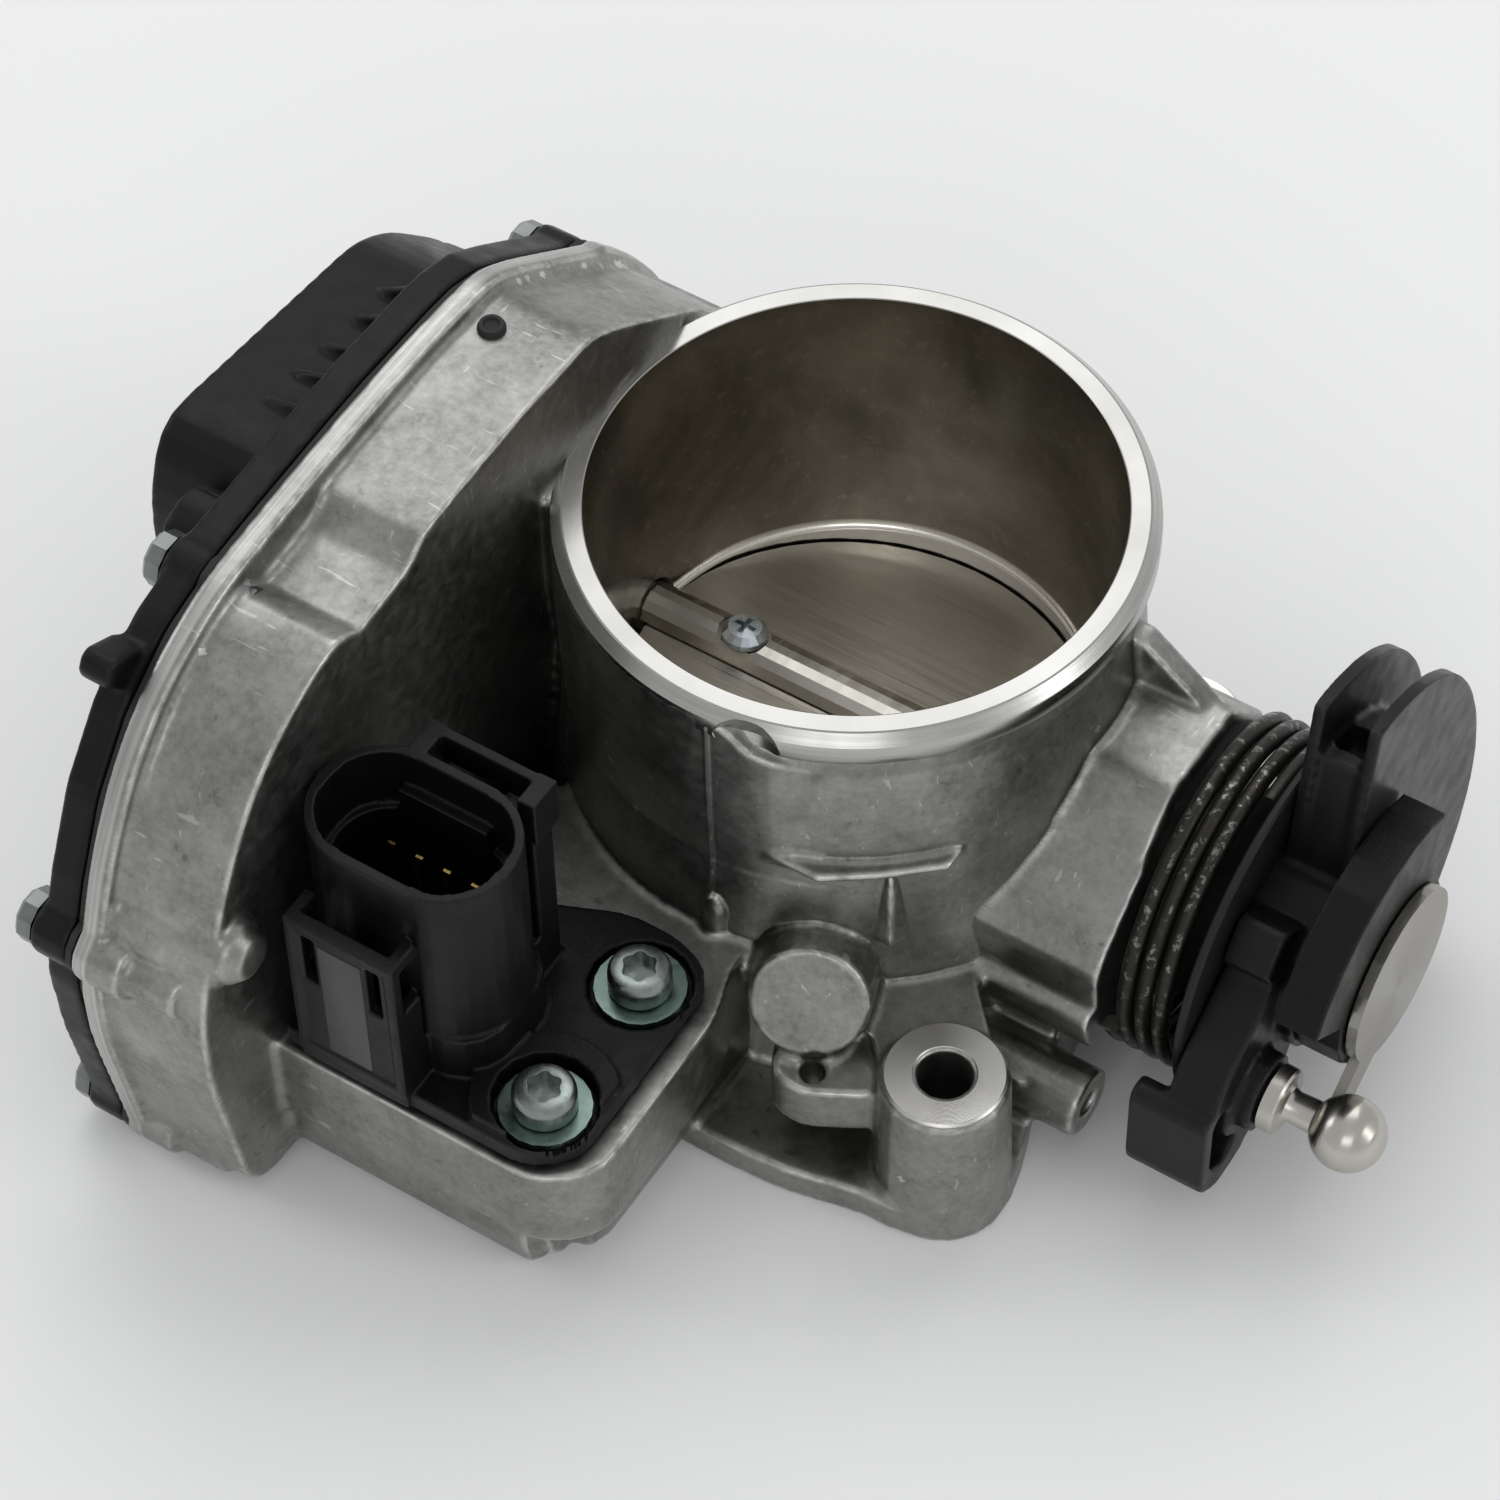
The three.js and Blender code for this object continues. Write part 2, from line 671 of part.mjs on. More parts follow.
const smallStep = 360 / IDLER_SMALL_TEETH;
const idler = union(
  prismX(
    gearOutline(IDLER_SMALL_TEETH, SECTOR_MODULE, toIdler + 180 + smallStep / 2, IDLER[0], IDLER[1]),
    LARGE_X + GEAR_T - 0.5,
    SMALL_X + GEAR_T,
  ),
  prismX(gearOutline(IDLER_LARGE_TEETH, WHEEL_MODULE, toMotor, IDLER[0], IDLER[1]), LARGE_X, LARGE_X + GEAR_T),
).subtract(rodX(IDLER_PIN_R + GAP, LARGE_X - 2, FLOOR_X, IDLER[0], IDLER[1], 12));
add("idler_gear", idler, NATURAL);
add("idler_pin", rodX(IDLER_PIN_R, LARGE_X - 1.6, FLOOR_X + 2.7, IDLER[0], IDLER[1], 12), STEEL);

// =====================================================================================
// Idle motor
// =====================================================================================
const canEnd = FLOOR_X + MOTOR_LEN;
const motorCan = turnX(
  [
    [0, FLOOR_X + 0.4],
    [MOTOR_R - 0.8, FLOOR_X + 0.4],
    [MOTOR_R, FLOOR_X + 1.2],
    [MOTOR_R, canEnd - 1.4],
    [MOTOR_R - 1.4, canEnd],
    [0, canEnd],
  ],
  24,
  MOTOR_Y,
  MOTOR_Z,
).subtract(rodX(MOTOR_SHAFT_R + GAP, FLOOR_X - 1, FLOOR_X + 20, MOTOR_Y, MOTOR_Z, 10));
add("idle_motor", motorCan, GALVANISED);
add("motor_shaft", rodX(MOTOR_SHAFT_R, LARGE_X - 1, FLOOR_X + 19, MOTOR_Y, MOTOR_Z, 10), STEEL);
const pinionStep = 360 / PINION_TEETH;
const pinion = prismX(
  gearOutline(PINION_TEETH, WHEEL_MODULE, toMotor + 180 + pinionStep / 2, MOTOR_Y, MOTOR_Z),
  LARGE_X,
  LARGE_X + GEAR_T,
).subtract(rodX(MOTOR_SHAFT_R + GAP / 2, LARGE_X - 1, LARGE_X + GEAR_T + 1, MOTOR_Y, MOTOR_Z, 10));
add("motor_pinion", pinion, BRASS);

const bracketX = FLOOR_X - FACE - BRACKET_T;
const bracket = prismX(
  rounded(rect(MOTOR_Y - BRACKET_SCREW_AT - 4, MOTOR_Y + BRACKET_SCREW_AT + 4, MOTOR_Z - 5, MOTOR_Z + 5), 4, 3),
  bracketX,
  FLOOR_X - FACE,
)
  .subtract(rodX(MOTOR_SHAFT_R + 2, bracketX - 1, FLOOR_X + 1, MOTOR_Y, MOTOR_Z, 16))
  .subtract(union([-1, 1].map((s) => rodX(1.8, bracketX - 1, FLOOR_X + 1, MOTOR_Y + s * BRACKET_SCREW_AT, MOTOR_Z, 12))));
add("motor_bracket", bracket, GALVANISED);

// A pan-head screw along X, its head on the -X side.
function screwX(r, headR, headH, seatX, length, y, z) {
  return turnX(
    [
      [0, seatX - headH],
      [headR - 0.6, seatX - headH],
      [headR, seatX - headH + 0.6],
      [headR, seatX],
      [r, seatX],
      [r, seatX + length],
      [0, seatX + length],
    ],
    10,
    y,
    z,
  );
}
[-1, 1].forEach((s, i) => {
  const y = MOTOR_Y + s * BRACKET_SCREW_AT;
  add("motor_screw_" + (i + 1), screwX(1.5, 2.9, 1.8, bracketX - FACE, BRACKET_T + 2.9, y, MOTOR_Z), ZINC);
});

// =====================================================================================
// Gasket, cover, sensor
// =====================================================================================
const gasket = union(
  prismX(caseOuter, CASE_X - FACE - GASKET_T, CASE_X - FACE),
  COVER_LUGS.map(([y, z]) => rodX(LUG_R, CASE_X - FACE - GASKET_T, CASE_X - FACE, y, z, 12)),
)
  .subtract(prismX(caseInner, CASE_X - 5, CASE_X).subtract(union(COVER_LUGS.map(([y, z]) => rodX(LUG_R - 0.6, -60, -40, y, z, 12)))))
  .subtract(union(COVER_LUGS.map(([y, z]) => rodX(COVER_SCREW_R + 0.25, CASE_X - 5, CASE_X + 1, y, z, 8))));
add("cover_gasket", gasket, SOFT_BLACK);

const bulgeOuter = rounded(BULGE, 9, 3);
const bulgeInner = rounded(offset(BULGE, -COVER_WALL), 7, 3);
const coverRibs = [-34, -28, -22.4, -16, -10].map((y) =>
  prismY(
    [
      [80.4 - y * 0.1, COVER_OUT - 5.5],
      [80.4 - y * 0.1, COVER_OUT + 1],
      [85.4, COVER_OUT + 1],
    ],
    y - 0.6,
    y + 0.6,
  ),
);
const coverShell = union(
  prismX(rounded(offset(CASE_OUTLINE, 0.4), 7, 1), COVER_OUT, COVER_FACE),
  prismX(bulgeOuter, BULGE_X, COVER_OUT + 1),
  // the bulge's front shoulder
  prismX(rounded([[-58, 40], [-58, 80], [-48, 83], [-48, 30]], 4, 2), BULGE_X + 8, COVER_OUT + 1),
  // long low rib over the motor side
  prismX(rounded([[-84, 12], [-87, 40], [-80, 62], [-70, 70], [-66, 60], [-66, 12]], 5, 2), COVER_OUT - 2.4, COVER_OUT + 1),
  COVER_LUGS.map(([y, z]) => rodX(LUG_R, COVER_OUT - 0.8, COVER_FACE, y, z, 12)),
  coverRibs,
  // clip nose on the front edge
  prismX(rounded([[-75, 76], [-79.5, 80], [-77.6, 83.4], [-71, 80]], 1, 1), COVER_OUT - 1, COVER_FACE - 1),
);
const SENSOR_X = -65;
const sensorPosts = [
  [-14, 12],
  [-14, 46],
  [14, 46],
];
const cover = coverShell
  .subtract(prismX(bulgeInner, BULGE_X + COVER_WALL, COVER_FACE + 1))
  .subtract(prismX(offset(caseInner, -0.4), COVER_OUT + COVER_WALL, COVER_FACE + 1))
  .add(union(sensorPosts.map(([y, z]) => rodX(2.2, BULGE_X + 1, SENSOR_X - GAP, y, z, 8))))
  .add(
    union(COVER_LUGS.map(([y, z]) => rodX(LUG_R - 0.6, COVER_OUT, COVER_FACE, y, z, 12))),
  )
  .subtract(union(COVER_LUGS.map(([y, z]) => rodX(COVER_SCREW_R + 0.25, BULGE_X, COVER_FACE + 1, y, z, 8))))
  .subtract(union(COVER_LUGS.map(([y, z]) => rodX(4.1, BULGE_X - 1, COVER_OUT - 0.8, y, z, 12))));
add("gear_cover", cover, BLACK);

COVER_LUGS.forEach(([y, z], i) => {
  const seat = COVER_OUT - 0.8 - FACE;
  add("cover_screw_" + (i + 1), screwX(COVER_SCREW_R, 3.7, 2.6, seat, COVER_SCREW_LEN, y, z), ZINC);
});

const board = prismX(rounded(rect(-17, 17, SHAFT_Z - 15.6, SHAFT_Z + 21), 3, 2), SENSOR_X, SENSOR_X + 1.5);
add("sensor_board", board, BOARD);
const rotorEnd = SHAFT_LEFT + 6;
const sensorRotor = union(
  rodX(13, SHAFT_LEFT + 2, SHAFT_LEFT + 4.2, 0, SHAFT_Z, 20),
  rodX(7, SHAFT_LEFT + 1, rotorEnd, 0, SHAFT_Z, 16),
).subtract(rodX(SHAFT_R + GAP, SHAFT_LEFT - 1, rotorEnd + 1, 0, SHAFT_Z, 14));
add("sensor_rotor", sensorRotor, NATURAL);

// =====================================================================================
// Connector
// =====================================================================================
const socketOuter = rounded(rect(SOCKET.x0, SOCKET.x1, SOCKET.y0, SOCKET.y1), [5, 9, 9, 9], 5);
const socketInner = rounded(offset(rect(SOCKET.x0, SOCKET.x1, SOCKET.y0, SOCKET.y1), -SOCKET.wall), [3.6, 7.6, 7.6, 7.6], 5);
const BASE = [
  [-32.6, -81.6],
  [3.5, -81.6],
  [8.4, -77],
  [8, -47],
  [2, -44.4],
  [-6, -44.4],
  [-14, -48],
  [-32.6, -54],
];
const BASE_ROUNDS = [1, 6, 6, 5, 3, 3, 3, 3];
const baseOutline = rounded(BASE, BASE_ROUNDS, 3);
const GUARD = { x0: -29.4, x1: -13.4, y0: -82.6, y1: -81, top: 57.6 };
const BAR = { x0: -26, x1: -9.8, y0: -55.2, y1: -53.8 };
const connector = union(
  prismZ(baseOutline, BASE_Z, BASE_TOP),
  prismZ(socketOuter, BASE_Z + 1, SOCKET.top),
  // raised collar round the front screw
  rodZ(9.4, BASE_Z + 1, BASE_TOP + 1.6, CONNECTOR_SCREWS[1][0] - 0.4, CONNECTOR_SCREWS[1][1] + 0.6, 20).intersect(
    prismZ(rounded(offset(BASE, -0.6), BASE_ROUNDS, 3), BASE_Z, BASE_TOP + 4),
  ),
  // guard plate on the front with its two side walls
  box(GUARD.x0, GUARD.x1, GUARD.y0, GUARD.y1, BASE_Z + 1, GUARD.top),
  [GUARD.x0, GUARD.x1 - 1.6].map((x) => box(x, x + 1.6, GUARD.y1 - 0.5, SOCKET.y0 + 2.5, BASE_Z + 1, 47)),
  [GUARD.x0, GUARD.x1 - 1.6].map((x) => box(x, x + 1.6, GUARD.y1 - 0.5, SOCKET.y0 + 1.2, GUARD.top - 2.4, GUARD.top)),
  // latch bar at the back, on two posts
  box(BAR.x0, BAR.x1, BAR.y0, BAR.y1, SOCKET.top - 5, SOCKET.top),
  [BAR.x0, BAR.x1 - 1.5].map((x) => box(x, x + 1.5, SOCKET.y1 - 2, BAR.y1, BASE_Z + 1, SOCKET.top)),
)
  .subtract(prismZ(socketInner, SOCKET.floor, SOCKET.top + 1))
  .subtract(union(CONNECTOR_SCREWS.map(([x, y]) => rodZ(6.8, WELL_Z, BASE_TOP + 6, x, y, 16))))
  .subtract(union(CONNECTOR_SCREWS.map(([x, y]) => rodZ(CONNECTOR_SCREW_R + 0.3, BASE_Z - 1, BASE_TOP, x, y, 10))))
  .subtract(box(GUARD.x0 + 2.3, GUARD.x0 + 4.2, GUARD.y0 - 1, GUARD.y1 + 0.4, 46, 55))
  .subtract(box(GUARD.x1 - 4.2, GUARD.x1 - 2.3, GUARD.y0 - 1, GUARD.y1 + 0.4, 46, 55))
  .subtract(box(-28.6, -12.4, SOCKET.y0 + 5.4, SOCKET.y1 - 4.4, BASE_Z - 1, BASE_Z + 8));
const pinPlaces = PIN_ROWS.flatMap((y) => [0, 1, 2, 3].map((k) => [PIN_X0 + k * PIN_PITCH, y]));
const pinHoles = pinPlaces.map(([x, y]) => box(x - 0.75, x + 0.75, y - 0.75, y + 0.75, BASE_Z, SOCKET.floor + 1));
const ledgeInside = box(SOCKET.x0 + 4, SOCKET.x1 - 6, SOCKET.y1 - 3.6, SOCKET.y1 - 1, SOCKET.floor - 1, SOCKET.top - 9);
add("connector_housing", connector.add(ledgeInside).subtract(union(pinHoles)), BLACK);
pinPlaces.forEach(([x, y], i) => {
  const pin = prismX(
    [
      [y - 0.5, BASE_Z + 4],
      [y + 0.5, BASE_Z + 4],
      [y + 0.5, 53.4],
      [y + 0.2, 54.4],
      [y - 0.2, 54.4],
      [y - 0.5, 53.4],
    ],
    x - 0.5,
    x + 0.5,
  );
  add("connector_pin_" + (i + 1), pin, GOLD);
});
const sealOutline = rounded(offset(BASE, -1.2), BASE_ROUNDS, 2);
const connectorSeal = prismZ(sealOutline, PAD_TOP + FACE, PAD_TOP + FACE + SEAL_T)
  .subtract(wireWindow.add(box(-29, -12, SOCKET.y0 + 5, SOCKET.y1 - 4, PAD_TOP, PAD_TOP + 5)))
  .subtract(union(CONNECTOR_SCREWS.map(([x, y]) => rodZ(CONNECTOR_SCREW_R + 0.3, PAD_TOP - 1, BASE_TOP, x, y, 10))));
add("connector_seal", connectorSeal, SOFT_BLACK);
CONNECTOR_SCREWS.forEach(([x, y], i) => {
  const washerZ = WELL_Z + FACE;
  const washer = rodZ(WASHER_R, washerZ, washerZ + WASHER_T, x, y, 20).subtract(
    rodZ(CONNECTOR_SCREW_R + GAP, washerZ - 1, washerZ + WASHER_T + 1, x, y, 12),
  );
  add("connector_washer_" + (i + 1), washer, ZINC);
  const seat = washerZ + WASHER_T + FACE;
  const screw = turnZ(
    [
      [0, 12.5],
      [CONNECTOR_SCREW_R, 12.5],
      [CONNECTOR_SCREW_R, seat],
      [4.1, seat],
      [4.1, seat + 3.2],
      [3.5, seat + 4],
      [0, seat + 4],
    ],
    16,
    x,
    y,
  ).subtract(rodZ(2, seat + 1.6, seat + 5, x, y, 6));
  add("connector_screw_" + (i + 1), screw, ZINC);
});
add("case_plug", rodZ(PLUG_R, 81, 87.4, PLUG[0], PLUG[1], 10), SOFT_BLACK);

// =====================================================================================
// Return spring and cable wheel
// =====================================================================================
class Coil extends THREE.Curve {
  getPoint(t, target = new THREE.Vector3()) {
    const turns = COILS * t;
    const a = (200 + 360 * turns) * deg;
    const x = SPRING_X + WIRE_R + COIL_PITCH * turns;
    return target.set(x, SPRING_R * Math.cos(a), SHAFT_Z + SPRING_R * Math.sin(a));
  }
}
const wire = shapeOf(arc(WIRE_R, 0, 288, 4, 0, 0));
const springGeometry = new THREE.ExtrudeGeometry(wire, { steps: Math.round(COILS * 18), extrudePath: new Coil(), bevelEnabled: false });
add("return_spring", solid(springGeometry), SPRING);

add(
  "spring_plate",
  ringX(HUB_R + GAP, SPRING_PLATE_R, SPRING_PLATE_X, SPRING_PLATE_X + SPRING_PLATE_T, 0, SHAFT_Z, 32),
  BLACK,
);

const camSteps = 16;
function camRadius(t) {
  const i = Math.max(1, CAM.findIndex(([a]) => a >= t));
  const [[a, r], [b, q]] = [CAM[i - 1], CAM[i]];
  return r + ((q - r) * (t - a)) / (b - a);
}
const [camFrom, camTo] = [CAM[0][0], CAM[CAM.length - 1][0]];
const camAngles = Array.from({ length: camSteps + 1 }, (_, k) => camFrom + ((camTo - camFrom) * k) / camSteps);
const sectorShape = (depth) => [
  ...camAngles.flatMap((t) => arc(camRadius(t) - depth, t, t, 0)),
  [-2, SHAFT_Z + 8],
  [-4, SHAFT_Z - 8],
];
const armOutline = rounded(
  [
    [-12, SHAFT_Z + 10],
    [-26, SHAFT_Z + 0.5],
    [-29.5, 24],
    [-29, 10.6],
    [-25, 7],
    [-17.4, 7.6],
    [-8, 14],
    [-4, SHAFT_Z],
  ],
  3,
  2,
);
const armX0 = SPRING_PLATE_X - 2.6;
const wheel = union(
  rodX(HUB_R, BOSS_END + 1.2, DISC_A + DISC_T, 0, SHAFT_Z, 28),
  prismX(sectorShape(0), DISC_B, DISC_B + DISC_T),
  prismX(sectorShape(GROOVE_DEPTH), DISC_B + 0.5, DISC_A + 0.5),
  prismX(sectorShape(0), DISC_A, DISC_A + DISC_T),
  prismX(armOutline, DISC_B, DISC_A - 0.6),
  // outer end of the arm, wrapped round the spring plate's edge
  prismX(rounded([[-31, 24.6], [-31, 9.8], [-26.5, 6.2], [-18.6, 6.8], [-24.4, 13], [-27.2, 24.6]], 1.6, 2), armX0, DISC_A - 0.6),
  // boss under the ball stud
  rodX(5.4, DISC_A - 3, DISC_A + DISC_T + 0.4, ARM_Y, ARM_Z, 16),
  // stop block
  prismX(rounded([[-17, 38], [-12.5, 43.5], [-6, 39], [-10.5, 34]], 1, 1), DISC_B, DISC_A - 1),
)
  .subtract(rodX(SHAFT_R + GAP, BOSS_END, 80, 0, SHAFT_Z, 16))
  .subtract(rodX(2.3, DISC_A - 2, DISC_A + DISC_T + 2, ARM_Y, ARM_Z, 10))
  .subtract(prismX(rounded([[-28.6, 22.6], [-28.6, 12], [-25, 9.6], [-21.6, 12.2], [-25.2, 15.4], [-25.2, 22.6]], 1, 1), DISC_B + 3, DISC_A + 1))
  // pocket for the cable nipple
  .subtract(rodX(3.4, DISC_B + DISC_T + 0.6, DISC_A - 0.6, 6.6, SHAFT_Z + 29.7, 12));
add("cable_wheel", wheel, BLACK);

const studX = DISC_A + DISC_T + 0.4 + FACE;
const stud = turnX(
  [
    [0, DISC_A - 1.4],
    [2, DISC_A - 1.4],
    [2, studX],
    [4.5, studX],
    [4.5, studX + 2.4],
    [3, studX + 2.4],
    [2.1, studX + 3.4],
    [2.1, BALL_X - BALL_R * 0.9],
    ...[-64, -45, -25, 0, 25, 48, 70].map((t) => [BALL_R * Math.cos(t * deg), BALL_X + BALL_R * Math.sin(t * deg)]),
    [0, BALL_X + BALL_R],
  ],
  18,
  ARM_Y,
  ARM_Z,
);
add("ball_stud", stud, STEEL);

const couplerOutline = [
  ...arc(COUPLER_R, 60, 156, 8),
  ...arc(13.4, 168, 410, 12),
];
const coupler = prismX(couplerOutline, COUPLER_X, COUPLER_X + COUPLER_T)
  .subtract(rodX(8.2, COUPLER_X + 1.8, COUPLER_X + COUPLER_T + 1, 0, SHAFT_Z, 18))
  .subtract(rodX(SHAFT_R + GAP, COUPLER_X - 1, COUPLER_X + 8, 0, SHAFT_Z, 16));
add("stop_coupler", coupler, BLACK);

const nutR = 6.6;
const nut = prismX(arc(nutR, 0, 300, 5), COUPLER_X + 1.8 + FACE, CAP_X - GAP - 0.4).subtract(
  rodX(SHAFT_R + GAP / 2, COUPLER_X, CAP_X + 2, 0, SHAFT_Z, 16),
);
add("shaft_nut", nut, ZINC);

const capTab = prismX(rounded([[-8.5, SHAFT_Z - 6], [-15.4, SHAFT_Z - 11.6], [-12.4, SHAFT_Z - 15.6], [-4.5, SHAFT_Z - 10]], 0.8, 1), CAP_X, CAP_X + CAP_T);
add("end_cap", rodX(CAP_R, CAP_X, CAP_X + CAP_T, 0, SHAFT_Z, 32).add(capTab), STEEL);

// ---- origin: bottom centre of the bounding box ----
const bounds = new THREE.Box3().setFromObject(group);
const centre = bounds.getCenter(new THREE.Vector3());
group.position.set(-centre.x, -centre.y, -bounds.min.z);

export default group;
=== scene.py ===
import math

import bmesh
import bpy
import numpy as np
from mathutils import Matrix, Vector


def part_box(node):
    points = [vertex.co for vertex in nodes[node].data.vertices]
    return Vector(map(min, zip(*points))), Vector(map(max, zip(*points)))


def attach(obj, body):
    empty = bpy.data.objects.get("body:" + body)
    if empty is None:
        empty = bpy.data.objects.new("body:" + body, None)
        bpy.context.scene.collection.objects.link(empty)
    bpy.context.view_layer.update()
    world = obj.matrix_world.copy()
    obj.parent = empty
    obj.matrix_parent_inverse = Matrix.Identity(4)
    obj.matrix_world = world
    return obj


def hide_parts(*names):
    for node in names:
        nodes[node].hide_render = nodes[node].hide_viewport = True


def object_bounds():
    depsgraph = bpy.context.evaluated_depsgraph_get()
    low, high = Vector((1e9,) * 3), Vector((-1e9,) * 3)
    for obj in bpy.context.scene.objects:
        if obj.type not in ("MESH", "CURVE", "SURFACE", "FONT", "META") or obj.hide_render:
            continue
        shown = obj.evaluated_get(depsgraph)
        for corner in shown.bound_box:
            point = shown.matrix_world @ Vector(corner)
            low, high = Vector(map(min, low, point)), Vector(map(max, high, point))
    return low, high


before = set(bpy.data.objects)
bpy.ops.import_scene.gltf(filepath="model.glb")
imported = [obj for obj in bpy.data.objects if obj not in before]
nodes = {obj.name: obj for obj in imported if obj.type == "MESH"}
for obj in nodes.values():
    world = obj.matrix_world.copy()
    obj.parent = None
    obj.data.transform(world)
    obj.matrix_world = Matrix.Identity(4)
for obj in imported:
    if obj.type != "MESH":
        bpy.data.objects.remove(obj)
cad_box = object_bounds()

plate_low, plate_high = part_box("throttle_plate")
BORE = (plate_low + plate_high) / 2
SHAFT_Z = 28.4


def place(p):
    return Vector((BORE.x + p[0] / 1000, BORE.y + p[1] / 1000, p[2] / 1000))


# ---------------------------------------------------------------- mesh tools
def piece(name, verts, faces, sharp=34):
    mesh = bpy.data.meshes.new(name)
    mesh.from_pydata([place(v) for v in verts], [], faces)
    bm = bmesh.new()
    bm.from_mesh(mesh)
    bmesh.ops.recalc_face_normals(bm, faces=bm.faces)
    bm.to_mesh(mesh)
    bm.free()
    mesh.shade_smooth()
    mesh.set_sharp_from_angle(angle=math.radians(sharp))
    obj = bpy.data.objects.new(name, mesh)
    bpy.context.scene.collection.objects.link(obj)
    return obj


def turned(name, profile, centre=(0, 0, 0), axis="z", sides=96, loop=False, sharp=34):
    """A turned solid. profile is (radius, height) along the axis; loop closes it on itself as a ring."""
    verts, faces, rings = [], [], []
    for r, h in profile:
        if r < 1e-6:
            rings.append([len(verts)])
            verts.append((0, 0, h))
            continue
        rings.append(list(range(len(verts), len(verts) + sides)))
        turns = [2 * math.pi * k / sides for k in range(sides)]
        verts += [(r * math.cos(t), r * math.sin(t), h) for t in turns]
    pairs = list(zip(rings, rings[1:])) + ([(rings[-1], rings[0])] if loop else [])
    for a, b in pairs:
        for k in range(sides):
            n = (k + 1) % sides
            quad = [a[k % len(a)], a[n % len(a)], b[n % len(b)], b[k % len(b)]]
            quad = list(dict.fromkeys(quad))
            if len(quad) > 2:
                faces.append(quad)
    if axis == "x":
        verts = [(z, x, y) for x, y, z in verts]
    cx, cy, cz = centre
    return piece(name, [(x + cx, y + cy, z + cz) for x, y, z in verts], faces, sharp)


def prism(name, points, low, high, axis="z", sharp=34):
    """An outline pushed along an axis: (x, y) along z, (y, z) along x, (x, z) along y."""
    order = {"z": lambda a, b, h: (a, b, h), "x": lambda a, b, h: (h, a, b), "y": lambda a, b, h: (a, h, b)}[axis]
    n = len(points)
    verts = [order(a, b, h) for h in (low, high) for a, b in points]
    faces = [list(range(n)), list(range(n, 2 * n))] + [[k, (k + 1) % n, n + (k + 1) % n, n + k] for k in range(n)]
    return piece(name, verts, faces, sharp)


def block(name, x0, x1, y0, y1, z0, z1):
    return prism(name, [(x0, y0), (x1, y0), (x1, y1), (x0, y1)], z0, z1)


def rounded(points, radius, steps=6):
    """The closed outline with its corners rounded off, from radius before each corner to radius after it."""
    out = []
    for i, p in enumerate(points):
        a, b = Vector(points[i - 1]), Vector(points[(i + 1) % len(points)])
        p = Vector(p)
        la, lb = (a - p).length, (b - p).length
        t = min(radius, la * 0.45, lb * 0.45)
        s, e = p + (a - p) * t / la, p + (b - p) * t / lb
        for k in range(steps + 1):
            u = k / steps
            out.append(tuple((1 - u) ** 2 * s + 2 * u * (1 - u) * p + u**2 * e))
    return out


def offset(points, d):
    """The closed outline moved outwards by d, each side parallel to itself, whichever way round it runs."""
    n = len(points)
    area = sum(points[i][0] * points[(i + 1) % n][1] - points[(i + 1) % n][0] * points[i][1] for i in range(n))
    side = math.copysign(d, area * d)
    lines = []
    for i in range(n):
        (x, y), (u, v) = points[i], points[(i + 1) % n]
        length = math.hypot(u - x, v - y)
        nx, ny = (v - y) / length, -(u - x) / length
        lines.append((nx, ny, nx * x + ny * y + side))
    out = []
    for i in range(n):
        (p, q, r), (a, b, c) = lines[i - 1], lines[i]
        det = a * q - p * b
        out.append(((c * q - r * b) / det, (a * r - p * c) / det))
    return out


def band(name, outer, inner, low, high, axis="x"):
    """A ring along an axis between two outlines of as many points."""
    n = len(outer)
    verts = [(h, a, b) if axis == "x" else (a, b, h) for h in (low, high) for loop in (outer, inner) for a, b in loop]
    faces = []
    for k in range(n):
        m = (k + 1) % n
        faces += [[k, m, n + m, n + k], [2 * n + k, 3 * n + k, 3 * n + m, 2 * n + m]]
        faces += [[k, 2 * n + k, 2 * n + m, m], [n + k, n + m, 3 * n + m, 3 * n + k]]
    return piece(name, verts, faces)


def drop(*objs):
    for o in objs:
        mesh = o.data
        bpy.data.objects.remove(o)
        bpy.data.meshes.remove(mesh)


def settle(obj):
    """Applies the object's modifiers."""
    bpy.context.view_layer.update()
    graph = bpy.context.evaluated_depsgraph_get()
    mesh = bpy.data.meshes.new_from_object(obj.evaluated_get(graph))
    old = obj.data
    obj.modifiers.clear()
    obj.data = mesh
    bpy.data.meshes.remove(old)
    return obj


def cut(obj, *tools, keep=False):
    for tool in tools:
        m = obj.modifiers.new("cut", "BOOLEAN")
        m.operation, m.solver, m.object = "DIFFERENCE", "EXACT", tool
    settle(obj)
    if not keep:
        drop(*tools)
    return obj


def bevel(obj, width, segments=3, angle=32):
    m = obj.modifiers.new("edge", "BEVEL")
    m.width, m.segments, m.limit_method, m.angle_limit = width / 1000, segments, "ANGLE", math.radians(angle)
    m.harden_normals = False
    settle(obj)
    obj.data.shade_smooth()
    obj.data.set_sharp_from_angle(angle=math.radians(40))
    return obj


def copy_of(node, name):
    obj = bpy.data.objects.new(name, nodes[node].data.copy())
    bpy.context.scene.collection.objects.link(obj)
    obj.data.materials.clear()
    bm = bmesh.new()
    bm.from_mesh(obj.data)
    bmesh.ops.remove_doubles(bm, verts=bm.verts, dist=1e-6)
    bm.to_mesh(obj.data)
    bm.free()
    return obj


def joined(obj, *others):
    bm = bmesh.new()
    bm.from_mesh(obj.data)
    for o in others:
        bm.from_mesh(o.data)
    bm.to_mesh(obj.data)
    bm.free()
    drop(*others)
    return obj


